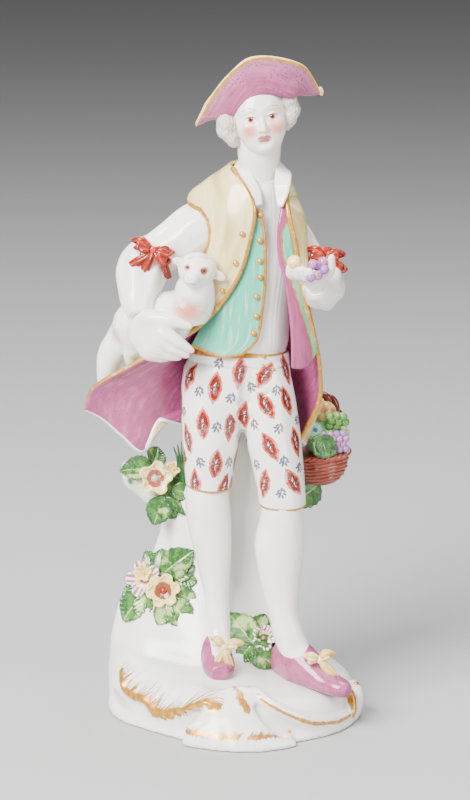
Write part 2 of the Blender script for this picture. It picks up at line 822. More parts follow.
def rim(angle):
    """How far the mound's foot lies from the origin."""
    depth = np.where(np.sin(angle) < 0, BASE_HALF_FRONT, BASE_HALF_BACK)
    oval = 1 / np.hypot(np.cos(angle) / BASE_HALF_WIDTH, np.sin(angle) / depth)
    swell = 0
    for middle, width, amount in RIM_SWELLS:
        away = np.arctan2(np.sin(angle - math.radians(middle)), np.cos(angle - math.radians(middle)))
        swell = swell + amount * np.exp(-(away / math.radians(width)) ** 2)
    return oval * (1 + swell)


# The mound from its middle to its foot: share of the reach and share of the height
MOUND_PROFILE = [
    (0.3, 1), (0.6, 1), (0.82, 0.97), (0.9, 0.8), (0.94, 0.52), (0.97, 0.28), (0.995, 0.1), (1, -0.12),
]


def mound():
    levels = smooth(MOUND_PROFILE, np.linspace(0, 1, 60))
    angle = np.linspace(0, TAU, 160, endpoint=False)[None, :]
    reach = levels[:, :1] * rim(angle)
    x, y = reach * np.cos(angle), reach * np.sin(angle)
    z = levels[:, 1:] * top_height(x, y)
    z[-1] = -4
    return closed(np.stack([x, y, z], -1)[::-1])


# The shell and the fan in rows from their root to their edge, and the curves along the scrollwork
SHELL = [
    [[-40, -8, 21.6], [-31, -19, 19.4], [-20, -28, 18.4], [-8, -34, 18]],
    [[-44.8, -11, 22.4], [-39.6, -20, 19], [-31.4, -28.6, 17.4], [-22, -36.6, 18.4], [-12.6, -41.8, 19.6],
     [-6, -42.8, 19.4]],
    [[-48.6, -12, 19.6], [-48.2, -18.4, 16.4], [-46.4, -21.4, 13.6], [-42.8, -25.8, 12.8],
     [-37.6, -31, 12.4], [-35, -33.6, 9.6], [-31.8, -36.4, 9.2], [-26, -40.8, 10.8], [-21.6, -44, 12.6],
     [-16.6, -47, 15.8], [-11.4, -49, 17.8], [-8, -49.6, 16.2]],
]
FAN = [
    [[-8, -44, 17.6], [-1, -41.6, 20.4], [6, -40.6, 20]],
    [[-13.6, -49.4, 11.2], [-2, -50.6, 13], [12, -49.6, 11.4]],
    [[-18.4, -51.4, 5.6], [-9, -55, 5], [1, -56.6, 4.8], [11, -56, 4.6], [23, -50.6, 3.8]],
    [[-20.4, -51, 1.4], [-9.4, -56, 0.8], [1, -58.4, 0.7], [12, -57.8, 0.7], [25, -51.8, 0.9]],
]
FAN_RIDGE = [
    (-7.6, -46.4, 15.8), (-8.4, -49.2, 12.8), (-14, -51.6, 9.8), (-18.6, -51, 6.8), (-20, -50, 2.4),
]
FEATHER = [(-0.8, -40.6, 20.8), (2.2, -45.4, 18.6), (4.8, -49.6, 14.6)]
SCROLL_CREST = [
    [5, -36.6, 20.6], [8.7, -42, 19.6], [13.6, -46.8, 16.8], [18.6, -48.8, 14.2], [23.1, -48.4, 11.8],
    [28.1, -46.8, 9.4], [33, -44, 7.2], [39, -39, 5.6], [44, -33.6, 4.8], [49, -27, 5],
]
LOBE_EDGE = [(47.4, -18.4, 15.8), (50.4, -15.4, 16.2), (53, -12, 13.4)]
LOBE_FOLD = [(49.4, -24, 5), (49.6, -21.4, 9.6), (48.6, -19.4, 14)]


def flutes(count, depth):
    """Ribs side by side that grow towards the edge."""
    return lambda u, v: depth * v * np.abs(np.sin(count * math.pi * u))


def make_ground():
    ground = Field((-66, -66, -4), (62, 54, 138), GROUND_VOXEL)
    ground.body(mound())
    bark = lambda angle, t: 1 + 0.045 * np.sin(4 * angle + 5 * t) + 0.03 * np.sin(7 * angle - 3 * t)
    ground.body(loft(TRUNK, sides=120, steps=100, shape=bark), blend=7)
    ground.body(loft(BRANCH, sides=64, steps=50), blend=5)
    ground.body(loft(BOUGH, sides=48, steps=40), blend=4)
    ground.oval((-47, 12.4, 103), (2.6, 3.4, 3.4), blend=1.5)
    ground.oval((-45.4, 5.6, 97.6), (1.8, 2.2, 2.6), blend=1.2, cut=True)
    ground.soften(5)
    shell = drape(SHELL, across=170, down=60, thickness=2.4, ripple=flutes(9, 0.6))
    fan_sheet = drape(FAN, across=150, down=70, thickness=4, ripple=flutes(5, -0.5))
    ground.channel([[-51, -8, 8], [-46, -25, 6], [-36, -36.4, 4.4], [-27, -43.4, 4.4], [-19, -48, 7]],
                   [0.4, 1.8, 2.2, 2, 0.6], blend=5)
    ground.body(shell, blend=1.6)
    ground.body(fan_sheet, blend=1.4)
    ground.chain(FAN_RIDGE, [1.4, 1.8, 2, 1.8, 1.2], blend=2, steps=20)
    ground.chain(FEATHER, [1, 1.5, 0.8], blend=2, steps=12)
    along_crest = np.linspace(0, 1, 60)
    crest = smooth(SCROLL_CREST, along_crest)
    inward = unit((np.array([4.0, 0, 0]) - crest) * (1, 1, 0))
    roll = np.interp(along_crest, [0, 0.12, 0.85, 1], [0.8, 2.2, 2.6, 2])
    ground.chain(crest + inward * 2.4, roll, blend=1.5, steps=59)
    grooved = slice(6, 46)
    groove = np.interp(along_crest[grooved], [0.1, 0.34, 0.76], [0.2, 2.8, 0.2])
    ground.channel(crest[grooved] - inward[grooved] * 4.2 - np.array([0, 0, 5.4]), groove, blend=6)
    ground.oval((50.6, -12, 8), (3.6, 6.4, 8), blend=1.2, yaw=0.3)
    ground.chain(LOBE_FOLD, [2, 1.8, 1.4], blend=1)
    ground.oval((-6, -14, 12), (15, 19, 9.4), blend=7)
    ground.soften()
    z = ground.low[2] + ground.voxel * np.arange(ground.values.shape[2])
    ground.values = np.maximum(ground.values, -z[None, None, :].astype(np.float32))
    shape = ground.shape()
    points = shape.points
    for name, part in (("fringe", shell), ("fan", fan_sheet)):
        hem, run, lining = beside(points, part, ("hem", "first", "lining"))
        shape.values[name] = hem + 9 * (lining < 0.25)
        shape.values[name + "_run"] = run
    shape.values.update(
        crest=nearest_on(points, crest)[1],
        green=np.minimum(np.linalg.norm(points - (-44, 8, 103), axis=1), 30),
        knot=np.linalg.norm((points - (-45.4, 5.6, 97.6)), axis=1),
        lobe=np.minimum(nearest_on(points, LOBE_EDGE)[1], nearest_on(points, LOBE_FOLD)[1] - 0.9),
        feather=nearest_on(points, FEATHER)[1], foot=np.minimum(points[:, 2], 30),
        hollow=ground.hollow(points),
    )
    return shape


def ground_paint():
    paint = Paint("Glazed ground", GLAZE, roughness=0.2)
    pooled(paint)
    green = paint.below(paint.value("green"), 9, 6)
    paint.over(paint.times(green, paint.clouds(4, 0.35, 0.6)), LIGHT_GREEN, 0.75)
    paint.near("knot", 2.3, 0.6, DARK_GREEN, 0.9)
    streak = paint.streaks("fringe_run", 0.8, "fringe", 14)
    reach = paint.minus(paint.value("fringe"), paint.ramp(streak, 0.42, 0.72, 0, 8.5))
    paint.gild(paint.below(reach, 1.9, 0.5))
    streak = paint.streaks("fan_run", 0.8, "fan", 9)
    reach = paint.minus(paint.value("fan"), paint.ramp(streak, 0.4, 0.68, 0, 2.2))
    foot = paint.ramp(paint.plus(paint.value("fan"), paint.ramp(streak, 0.3, 0.7, -0.5, 0.5)), 3.6, 3.9)
    middle = paint.ramp(paint.size_of(paint.minus(paint.value("fan_run"), 23)), 1.4, 1.8)
    paint.gild(paint.times(paint.times(paint.below(reach, 5.2, 0.4), foot), middle))
    paint.gild(paint.below(paint.plus(paint.value("crest"), paint.noise(size=3)), 1.25))
    paint.gild(paint.below(paint.plus(paint.value("lobe"), paint.noise(size=3)), 1.7))
    ragged = paint.times(paint.noise(size=1.4, detail=3, stretch=(1, 0.4, 0.4)), 3.2)
    paint.gild(paint.below(paint.plus(paint.value("feather"), ragged), 3.5, 0.3))
    paint.near("foot", 0.35, 0.15, BROWN, 0.6)
    paint.bump(paint.noise(size=5, detail=1), 0.06)
    return paint.done()


# Legs, shoes and breeches

RIGHT_LEG = [
    (-10.5, -7, 106, 8, 8), (-11.7, -7.6, 96, 9.2, 9), (-10.9, -7, 84, 9.3, 9.2), (-9.2, -7, 70, 7.7, 8.2),
    (-8, -8, 53, 5.4, 6.2), (-7.4, -9.6, 41, 5.5, 6.2), (-6.9, -12.4, 35, 5.2, 5.8),
    (-6.3, -17, 31.4, 4.7, 5), (-6.2, -22, 29.4, 4, 3.8), (-6.2, -25, 28.4, 2.4, 2.4),
]
LEFT_LEG = [
    (19.5, -12, 102, 8.6, 8.4), (19.8, -13, 90, 8.8, 8.8), (18.8, -12.6, 76.7, 10.5, 9.4),
    (18.9, -12.4, 68, 9.8, 9.2), (19.2, -12.6, 58.8, 8.4, 8.4), (20.5, -14.4, 46.3, 6.4, 6.9),
    (22.4, -16.4, 38, 6.5, 6.6), (25.4, -18.4, 31.5, 6.2, 5.6), (29, -21.6, 27.4, 4.8, 4.6),
    (31.4, -23, 26, 3, 3),
]
RIGHT_SHOE = [
    (-12.4, 1.4, 36, 2.4, 6.4), (-11.8, -3, 34.4, 5, 9.4), (-9.6, -10, 29.8, 6.8, 8.6),
    (-7.6, -18, 26.8, 7, 6.6), (-6.6, -25, 24.8, 6.6, 4.8), (-6.4, -29.6, 24, 4, 3.2),
]
LEFT_SHOE = [
    (16.8, -8, 24.8, 2.6, 5), (18.8, -9.6, 24.4, 5.4, 7), (24.6, -15.5, 25.8, 7.6, 10),
    (31.6, -22, 23.4, 7.4, 7.8), (38.8, -29, 20.4, 6.2, 4.8), (44.8, -34.8, 19.2, 4.6, 3.8),
    (47.4, -37, 18.8, 2.4, 2.6),
]
SEAT = [
    (-0.5, 1, 124, 17, 12), (-0.5, 1, 134, 21.5, 15), (0.5, 0.5, 146, 21.5, 15.5),
    (2.2, 0, 153, 20.6, 15.4), (2.8, 0, 158.2, 19.8, 15),
]
RIGHT_THIGH = [
    (-8, -1, 148, 13, 13), (-9.6, -2.5, 134, 13.2, 13.6), (-10, -4.5, 120, 12.2, 12.8),
    (-10.6, -6.5, 108, 10.6, 11.2), (-10.8, -7.5, 100, 9.6, 9.8), (-10.8, -7.5, 94, 9.2, 9.4),
]
LEFT_THIGH = [
    (10, -2, 148, 12.5, 13), (13.5, -5, 134, 12, 13.4), (16.5, -8.5, 118, 11.4, 12.6),
    (18.8, -11.5, 105, 10.4, 11), (19.8, -12.5, 96, 9.8, 9.8), (19.8, -12.5, 90, 9.4, 9.4),
]
# Each hem of the breeches: a place in its plane and the plane's normal
RIGHT_HEM = ((-10.8, -12, 98.9), (0.06, -0.12, 1))
LEFT_HEM = ((19.8, -14, 92.4), (0.02, -0.09, 1))

WAIST_TOP = 158.2
WAISTBAND_SEAM = 151.6
THIGH_CREASE = [(4.6, -15.6, 150), (3.8, -15, 141), (3.4, -13, 131), (3.6, -10, 123), (4, -7, 118)]
# Creases across the thighs and how deep each is
BREECHES_FOLDS = [
    ([[3, -13.8, 136], [-4, -15.6, 139], [-13, -14, 143]], 0.7),
    ([[4, -13.6, 130], [-3, -16.4, 131], [-10, -17.2, 134]], 0.6),
    ([[6, -14, 137], [13, -16.6, 141], [20, -13.6, 147]], 0.7),
    ([[7, -15, 131], [14, -18, 134], [22, -15.6, 139]], 0.6),
    ([[-20, -9, 112], [-14, -17, 108], [-6, -17.6, 107]], 0.5),
    ([[10, -18, 104], [18, -22.6, 106], [27, -17.6, 104]], 0.5),
]

# Painted motifs and sprigs, each where it is seen from the front (x, z), a motif with its tilt in degrees
MOTIFS = [
    (-19.3, 144.3, -15), (-8.4, 140.1, -8), (2.1, 146.5, -6), (-13.5, 124.6, 2), (-2.1, 123.7, -8),
    (-8, 106.8, -6), (-19.8, 118.1, 18), (-17, 98.6, 0), (-4.6, 97, -15), (0.8, 109, -8),
    (4.2, 128.4, -10), (12.6, 145.6, -35), (21.4, 147.8, 0), (13, 132.7, 30), (21.8, 134.5, 8),
    (14.8, 114.6, 30), (25.7, 116.8, 3), (12.3, 98.5, -12), (24.9, 99.4, 30),
]
SPRIGS = [
    (-6.7, 150.8), (-15.1, 138.8), (-1.7, 135.8), (-21.6, 130.2), (-7.6, 123.3), (2, 117.6),
    (-14.8, 108.1), (-2.5, 108.1), (6.6, 140.5), (17.6, 139.2), (8, 124.6), (18.5, 122.8), (9, 107.2),
    (20.7, 108.5), (27.2, 105.9), (19.5, 94.6), (26.1, 126.3),
]


def tree_of(shape):
    faces = [f.tolist() for part in shape.faces for f in part]
    return BVHTree.FromPolygons(shape.points.tolist(), faces)


def seen(tree, x, z):
    """Where the line from the eye through (x, 0, z) first meets a surface, and the normal there. A place just
    off the outline is drawn towards the middle of its leg until it meets it."""
    eye = Vector(EYE)
    middle = -9 if x < 5 else 18
    for pull in range(16):
        aim = Vector((x + (middle - x) * 0.03 * pull, 0, z))
        place, normal, _, _ = tree.ray_cast(eye, (aim - eye).normalized())
        if place is not None:
            return np.array(place), np.array(normal)
    raise ValueError(f"nothing is seen at {x}, {z}")


def motif_values(points, spots, name, reach):
    """Each point's place in the frame of its nearest spot, and whether the motif there reaches it."""
    across, down, nearest, second = (np.full(len(points), FAR) for _ in range(4))
    for place, normal, tilt in spots:
        fall = unit(-Z - normal * (-Z @ normal))
        side = np.cross(normal, fall)
        c, s = math.cos(tilt), math.sin(tilt)
        side, fall = c * side - s * fall, c * fall + s * side
        offset = points - place
        away = np.linalg.norm(offset, axis=1)
        second = np.minimum(second, np.maximum(away, nearest))
        closer = away < nearest
        nearest[closer] = away[closer]
        across[closer] = (offset @ side)[closer]
        down[closer] = (offset @ fall)[closer]
    reached = (np.hypot(across / reach[0], down / reach[1]) < 1) & (second - nearest > 1)
    return {name + "_x": across, name + "_y": down, name + "_in": reached}


def make_breeches():
    """The breeches and the tree that finds places on them."""
    cloth = Field((-28, -22, 90), (35, 20, 166), BREECHES_VOXEL)
    creases = lambda angle, t: 1 + 0.016 * np.sin(3 * angle + 7 * t) + 0.008 * np.sin(8 * angle - 5 * t)
    cloth.body(loft(SEAT, sides=96, steps=60))
    cloth.body(loft(RIGHT_THIGH, sides=96, steps=80, shape=creases), blend=2.5)
    cloth.body(loft(LEFT_THIGH, sides=96, steps=80, shape=creases), blend=2.5)
    for path, radius in BREECHES_FOLDS:
        cloth.chain(path, [0.2, radius, 0.2], blend=2.2, steps=14, cut=True)
    for centre, normal in (RIGHT_HEM, LEFT_HEM):
        part, points = cloth.window(np.array(centre) - (14, 16, 9), np.array(centre) + (14, 26, 6))
        below_hem = -(points - np.array(centre)) @ unit(np.array(normal, float))
        nearer = np.abs(points[..., 0] - centre[0]) < 15.2
        cloth.values[part] = np.where(nearer, np.maximum(cloth.values[part], below_hem), cloth.values[part])
    cloth.soften()
    shape = cloth.shape()
    front = shape.normals()[:, 1] < 0
    crease = nearest_on(shape.points, THIGH_CREASE)[1]
    seam = np.abs(shape.points[:, 2] - WAISTBAND_SEAM + 0.04 * (shape.points[:, 0] - 4))
    shape = shape.pushed(-1.5 * front * np.exp(-(crease / 1.7) ** 2) - 0.3 * np.exp(-(seam / 0.45) ** 2))
    tree = tree_of(shape)
    motifs = [(*seen(tree, x, z), math.radians(tilt)) for x, z, tilt in MOTIFS]
    sprigs = [(*seen(tree, x, z), 0.5 * math.sin(5 * x)) for x, z in SPRIGS]
    axis = lambda z: np.array([np.interp(z, [95, 150], [4.5, 2]), np.interp(z, [95, 150], [-8, 0]), z])
    for row in range(5):
        z = 100 + 11.5 * row
        for column in range(9):
            angle = math.radians(6 + 21 * column + 10 * (row % 2))
            out = np.array([math.cos(angle), math.sin(angle), 0])
            hit = tree.ray_cast(Vector(axis(z) + 60 * out), Vector(-out))
            if hit[0] is not None:
                spot = (np.array(hit[0]), np.array(hit[1]), 0.25 * math.sin(3 * column + row))
                (motifs if (column + row) % 2 else sprigs).append(spot)
    points = shape.points
    shape.values.update(motif_values(points, motifs, "motif", (4.4, 7.8)))
    shape.values.update(motif_values(points, sprigs, "sprig", (3.4, 3.4)))
    hem = np.full(len(points), FAR)
    for (centre, normal), own in ((RIGHT_HEM, points[:, 0] < 4.6), (LEFT_HEM, points[:, 0] >= 4.6)):
        height = (points - np.array(centre)) @ unit(np.array(normal, float))
        hem = np.where(own, height, hem)
    groove = 1.4 * np.exp(-(crease / 1.5) ** 2) + 0.8 * np.exp(-(seam / 0.5) ** 2)
    shape.values.update(hem=hem, hollow=cloth.hollow(points) + groove, waist=WAIST_TOP - points[:, 2])
    return shape, tree


# Brush strokes of a sprig: across, down and tilt in degrees
SPRIG_STROKES = [
    (0.1, -1.5, 0), (-1.1, -0.8, 38), (1.2, -0.9, -42), (-1.5, 0.5, 65), (1.5, 0.4, -60), (-0.3, 0.3, 8),
    (0.7, 1.5, -25), (-0.7, 1.6, 20),
]


def print_paint():
    """White glaze with almond-shaped motifs in iron red and small slate sprigs."""
    paint = Paint("Printed breeches", GLAZE)
    pooled(paint)
    wobble = paint.ragged(2.2, 2.2, 3)
    x, y = paint.value("motif_x"), paint.value("motif_y")
    near = paint.ramp(paint.value("motif_in"), 0.5, 0.8)
    width = paint.size_of(x)
    length = paint.size_of(y)

    def almond(half_width, half_length, rough=1.0):
        """Below 0 inside an almond."""
        share = paint.math("POWER", paint.math("DIVIDE", length, half_length), 1.8)
        edge = paint.times(paint.minus(1.0, share), half_width)
        inside = paint.minus(width, edge)
        return paint.plus(inside, paint.times(wobble, rough))

    def masked(level, soft, strength):
        return paint.times(paint.times(paint.below(level, 0, soft), near), strength)

    thin = paint.ramp(paint.noise(size=2.6, detail=2), 0.35, 0.6, 0.6, 0.95)
    dashes = paint.noise(vector=paint.vector(paint.times(x, 0.8), paint.times(y, 1.3)), detail=2)
    paint.over(masked(almond(3.1, 7.2, 0.6), 0.12, thin), IRON_RED)
    paint.over(masked(almond(2.3, 5.8, 0.8), 0.25, thin), RED)
    paint.over(masked(almond(2.1, 5.2, 0.8), 0.4, paint.ramp(dashes, 0.36, 0.56)), DARK_RED, 0.85)
    paint.over(masked(almond(0.55, 3.3, 0.4), 0.15, paint.ramp(dashes, 0.56, 0.46)), GLAZE, 0.9)
    strokes = paint.noise(vector=paint.vector(paint.times(x, 0.9), paint.times(paint.plus(y, x), 1.5)),
                          detail=1)
    paint.over(masked(almond(1.1, 4, 0.4), 0.2, paint.ramp(strokes, 0.45, 0.51)), INK, 0.95)
    x, y = paint.value("sprig_x"), paint.value("sprig_y")
    for across, along, tilt in SPRIG_STROKES:
        c, s = math.cos(math.radians(tilt)), math.sin(math.radians(tilt))
        a, b = paint.minus(x, across), paint.minus(y, along)
        wide = paint.plus(paint.times(a, c / 0.5), paint.times(b, s / 0.5))
        tall = paint.plus(paint.times(a, -s / 0.95), paint.times(b, c / 0.95))
        level = paint.plus(paint.times(wide, wide), paint.times(tall, tall))
        stroke = paint.below(paint.plus(level, paint.times(wobble, 0.5)), 1.0, 0.25)
        paint.over(paint.times(stroke, paint.value("sprig_in")), SLATE, 0.9)
    paint.gild(paint.below(paint.value("hem"), 1.35, 0.12))
    paint.gild(paint.below(paint.value("waist"), 2.3, 0.12))
    return paint.done()


def shoe(stations, across):
    """A court shoe, cut flat to a thin sole with a low heel."""
    stations = np.array(stations, float)
    low = stations[:, :3].min(0) - 12
    high = stations[:, :3].max(0) + 12
    body = Field(low, high, SHOE_VOXEL)
    body.body(loft(stations, across=unit(np.array(across, float)), sides=96, steps=90))
    body.soften()
    shape = body.shape()
    shape.values.update(hollow=body.hollow(shape.points))
    return shape


def shoe_paint():
    """Puce enamel laid in visible brush strokes."""
    paint = Paint("Puce shoes", PUCE)
    strokes = paint.noise(size=2.4, detail=4, stretch=(1, 0.35, 0.6))
    paint.blots(11, 0.42, 0.72, SHOE_LIGHT, 0.6)
    paint.over(paint.ramp(strokes, 0.48, 0.72), DEEP_PUCE, 0.4)
    paint.over(paint.ramp(strokes, 0.5, 0.3), SHOE_LIGHT, 0.35)
    paint.graded("hollow", 0.1, 1.0, DEEP_PUCE, 0.5)
    paint.over(paint.speckles(1.3, 0.22), DEEP_PUCE, 0.7)
    return paint.done()


# Trunk of the body, waistcoat and coat

TORSO = [
    (3, 1, 148, 16.4, 12.4), (3.5, 0.7, 156.6, 17.2, 13.6), (3.9, 0.4, 159.6, 17.8, 14.8),
    (4.4, 0.2, 163.4, 18.2, 15.7), (5.2, 0, 170, 17.8, 15.2), (6, 0, 177, 17.6, 14.6),
    (7.2, 0, 192, 18.6, 14.6), (8, 1, 205, 19, 13), (8.6, 1.5, 213, 18.4, 12), (9.6, 1.2, 220, 15, 11.6),
    (10.4, 0.4, 225.6, 10.8, 10.4), (10.4, -0.6, 231.8, 7.8, 7.4),
]
NECK = [(10.8, 0, 221, 9, 8.6), (10, -1, 231, 8.2, 8), (9.9, -2.4, 240, 8.9, 8.6), (10, -3, 250, 9.6, 9)]
COLLAR = [
    [[8.6, -14.8, 220], [5.4, -13, 224.6], [1.4, -7.8, 230.2], [0.2, 0.6, 233.4], [5, 8.8, 234.4],
     [12, 10.8, 234.8], [18.2, 8.4, 232.8], [21.6, 1.6, 231.8], [22.6, -5.4, 231], [22.2, -10.8, 229],
     [21.2, -13.2, 224.6], [19, -15, 219.6]],
    [[10.6, -13.6, 220.4], [9.6, -11.6, 225.8], [5.8, -7.6, 232.2], [2.8, 0.8, 237], [6, 6.6, 238.4],
     [11, 8, 238.4], [15.8, 6.4, 236.4], [17.8, 0.8, 235], [17.4, -5.8, 233.2], [17, -9.6, 229.6],
     [17.2, -12.6, 224.8], [18, -14.2, 220]],
]
WAISTCOAT_RIGHT = [
    [[9.6, -13.4, 217.4], [7, -12.4, 217.4], [3, -10, 216]],
    [[11.6, -14.8, 208], [7, -14.4, 207], [0, -11.6, 206]],
    [[12.2, -16.2, 191], [4, -15.4, 191], [-7, -10.4, 190]],
    [[10.8, -16.6, 176], [0, -15.6, 175], [-11, -9.6, 174]],
    [[8.8, -17, 164.6], [-4, -15.8, 162], [-15.6, -8.6, 163]],
    [[3, -17.2, 158.4], [-6, -16.2, 157.2], [-17.4, -8.4, 160]],
]
WAISTCOAT_LEFT = [
    [[20.4, -11.6, 222], [21, -11.4, 222], [21.6, -11, 222]],
    [[18.6, -14, 213.4], [20.6, -13.8, 213.4], [22.6, -13, 213]],
    [[18, -15, 207], [21, -14.6, 207], [24.4, -13, 207]],
    [[18.4, -15.7, 198.4], [22, -15, 198.4], [26, -12.4, 198]],
    [[21, -15.6, 188.6], [24, -14.8, 188.6], [27.6, -12.2, 188]],
    [[23, -15.6, 176], [26.4, -14.4, 176], [30.2, -11.6, 176]],
    [[23.8, -15.8, 166], [28, -14.2, 165.6], [32, -11, 165.4]],
    [[24, -15.8, 158], [28.6, -14, 157.4], [33, -10.8, 158]],
    [[24, -15.4, 152.4], [27.4, -14.2, 152], [30, -12.8, 153]],
]
# Width of the left front's facing at each height
LEFT_STRIP = [
    (150, 10), (158.5, 8.6), (166, 6.6), (176, 3.9), (189, 1.9), (203, 1.3), (209, 1.2), (212, 2.4),
    (215, 6),
]
COAT = [
    [[-0.8, -5, 233.4], [-2.4, 0, 233.6], [-0.8, 6, 234], [4.6, 10.4, 234.6], [11.6, 12.2, 234.6],
     [18, 10.4, 232.6], [21.4, 4, 229.8], [22, -3, 227], [21.4, -8.4, 224]],
    [[4.4, -12.6, 226.2], [-4, -7.6, 227.4], [-12.4, 1.6, 226.2], [-7, 11.4, 227], [10, 14.4, 227.6],
     [20.6, 11.6, 224], [25, 3.4, 220.4], [25, -5, 219.8], [21.3, -12.2, 220.6]],
    [[7.6, -16, 218.6], [-5, -11.4, 218], [-18.8, 1, 219.4], [-8, 13.4, 219], [9, 15.6, 219],
     [21.6, 12.4, 216], [27.4, 2.4, 213], [27.4, -7, 213], [22.4, -14.6, 213.6]],
    [[6.4, -16.8, 208], [-5, -13.6, 206], [-14, 1, 204], [-7, 14.6, 204], [7, 17, 204], [20, 14.6, 203],
     [27.6, 3, 203], [29, -6, 203], [25.2, -14.6, 201]],
    [[0.4, -17, 189], [-8, -12.8, 188], [-13.6, 1, 186], [-7, 14.8, 186], [6, 17.4, 186], [18.4, 15, 185],
     [26.4, 5, 185], [29.8, -5, 184.6], [27.2, -13.6, 185.6]],
    [[-14.6, -12.4, 169], [-16.6, -6, 167], [-17.4, 4, 166], [-9, 16, 165], [4.4, 18.6, 165],
     [17.4, 16, 165], [25.4, 7, 165], [31.2, -4, 165.6], [32.2, -11.6, 166.8]],
    [[-38, -7, 154], [-30, 0, 152], [-23, 8, 150], [-11, 18, 149], [4, 21, 149], [18, 18.4, 149],
     [28, 9.6, 149], [33, 1, 149], [35.2, -6, 150]],
    [[-58, -1, 141], [-44, 3, 137], [-31, 8, 133], [-14, 18.6, 132], [4, 23.4, 131], [20, 20.4, 131],
     [29.4, 11, 131], [33.4, 4, 132], [35, -1, 134]],
    [[-62.6, 3, 130.4], [-55.4, 3.8, 126], [-47.4, 4, 119], [-40.2, 4, 112.2], [-36.4, 5, 116],
     [-31.6, 7, 124], [-23, 11, 122.6], [-12, 18, 119], [2, 24, 115], [16, 23.4, 112.6], [24, 18, 112],
     [28.2, 11, 113], [29, 6, 115], [27.8, 2, 118]],
]


def make_shirt():
    """The trunk in its shirt, which is finely pleated down the chest."""
    front = np.linspace(-2.35, -0.75, 204)
    rest = np.linspace(-0.75, TAU - 2.35, 56)[1:-1]

    def pleats(angle, t):
        folds = np.sin(56 * (angle + 0.16 * np.sin(3 * t)) + 2 * np.sin(9 * angle))
        turned = np.mod(angle + 2.6, TAU) - 2.6
        return 1 + 0.0032 * folds * step(0.02, 0.2, t) * step(-2.4, -2.2, turned) * step(-0.7, -0.9, turned)

    return loft(TORSO, steps=78, shape=pleats, angles=np.concatenate([front, rest]))


def cloth_paint(name, outside, streaked):
    """Enamel streaked down the cloth, each streak with its colour, limits and strength, and a puce lining."""
    paint = Paint(name, outside)
    streaks = paint.streaks("first", 1.6, "top", 16, 3)
    for tone, low, high, strength in streaked:
        paint.over(paint.ramp(streaks, low, high), tone, strength)
    inside = paint.ramp(paint.value("lining"), 0.62, 0.72)
    strokes = paint.streaks("first", 2.6, "top", 7, 4)
    paint.over(inside, PUCE)
    paint.over(paint.times(inside, paint.ramp(strokes, 0.45, 0.75)), DEEP_PUCE, 0.3)
    paint.over(paint.times(inside, paint.ramp(strokes, 0.5, 0.3)), PALE_PUCE, 0.35)
    paint.over(paint.times(inside, paint.speckles(1.5, 0.2)), DEEP_PUCE, 0.6)
    return paint


def coat_paint():
    paint = cloth_paint("Cream coat", CREAM, [(OLIVE, 0.52, 0.8, 0.4), (GLAZE, 0.46, 0.28, 0.4)])
    wash = paint.streaks("first", 9, "top", 40)
    outside = paint.below(paint.value("lining"), 0.6)
    paint.over(paint.times(outside, paint.ramp(wash, 0.44, 0.66)), OLIVE, 0.7)
    paint.over(paint.times(outside, paint.ramp(wash, 0.44, 0.3)), GLAZE, 0.65)
    ragged = paint.ragged(2.6)
    paint.near("armhole", 2.6, 2.2, YELLOW, 0.4)
    paint.near("hem", 0.1, 0.2, GLAZE)
    outer = paint.ramp(paint.value("lining"), 0.85, 0.7)
    for edge in ("first", "last"):
        gilt = paint.below(paint.plus(paint.value(edge), ragged), 0.2, 0.15)
        paint.gild(paint.times(gilt, outer))
    paint.gild(paint.below(paint.plus(paint.value("armhole"), ragged), 1.7))
    return paint.done()


def folds_of_skirt(u, v):
    """Folds of the coat's skirts, which deepen towards the hem."""
    return 1.3 * np.maximum(0, v - 0.55) * np.sin(9 * math.pi * u)


def add_armholes(coat, sleeves):
    """Gives the coat's outside near the shoulders its distance from the nearest sleeve."""
    coat.values["armhole"] = np.full(len(coat.points), FAR)
    near = np.flatnonzero((coat.points[:, 2] > 188) & (coat.values["lining"] < 0.5))
    for sleeve in sleeves:
        tree = tree_of(sleeve)
        for k in near:
            away = tree.find_nearest(Vector(coat.points[k]), 4)[3]
            if away is not None:
                coat.values["armhole"][k] = min(coat.values["armhole"][k], away)


# Sleeves and hands

RIGHT_UPPER = [
    (-6, 2, 210, 9, 9), (-15, 1.5, 207.6, 10.6, 10.4), (-24, 0.5, 202, 10, 10),
    (-32, -0.6, 197.6, 8.8, 8.8), (-36, -1, 195, 8.2, 8.2),
]
RIGHT_LOWER = [
    (-30, 0, 198.6, 7.6, 7.6), (-36.2, -1.6, 194.2, 9.8, 9.6), (-38.8, -4, 189.4, 10.1, 9.8),
    (-39.7, -8, 184.4, 8.9, 9), (-40, -12, 179.6, 7.1, 7.4), (-39.4, -14.6, 176, 5.8, 6),
    (-39, -15.8, 174, 4.8, 5),
]
LEFT_UPPER = [
    (18, 3, 211, 7, 8), (22.6, 3.2, 206.6, 7, 8.2), (26.4, 3.4, 201, 6.9, 8), (30, 3, 195.4, 6.8, 7.6),
]
LEFT_LOWER = [
    (31.6, 4.4, 194.6, 6.6, 7), (35, 1, 190.4, 8, 8.2), (36.6, -6, 186.6, 8.5, 8.8),
    (36, -14, 184.8, 8.2, 8.6), (34, -21.6, 186.6, 6.2, 6.4), (32.8, -25, 188.2, 4.4, 4.8),
]


def gathers(angle, t):
    """Gathered cloth of a sleeve, tightest at its ends."""
    return (1 + 0.045 * np.sin(6 * angle + 3 * np.sin(3 * t)) * np.sin(math.pi * t) ** 0.6
            + 0.045 * np.abs(np.sin(3.5 * angle + 4 * t))
            + 0.03 * np.sin(15 * angle) * np.abs(2 * t - 1) ** 1.5)


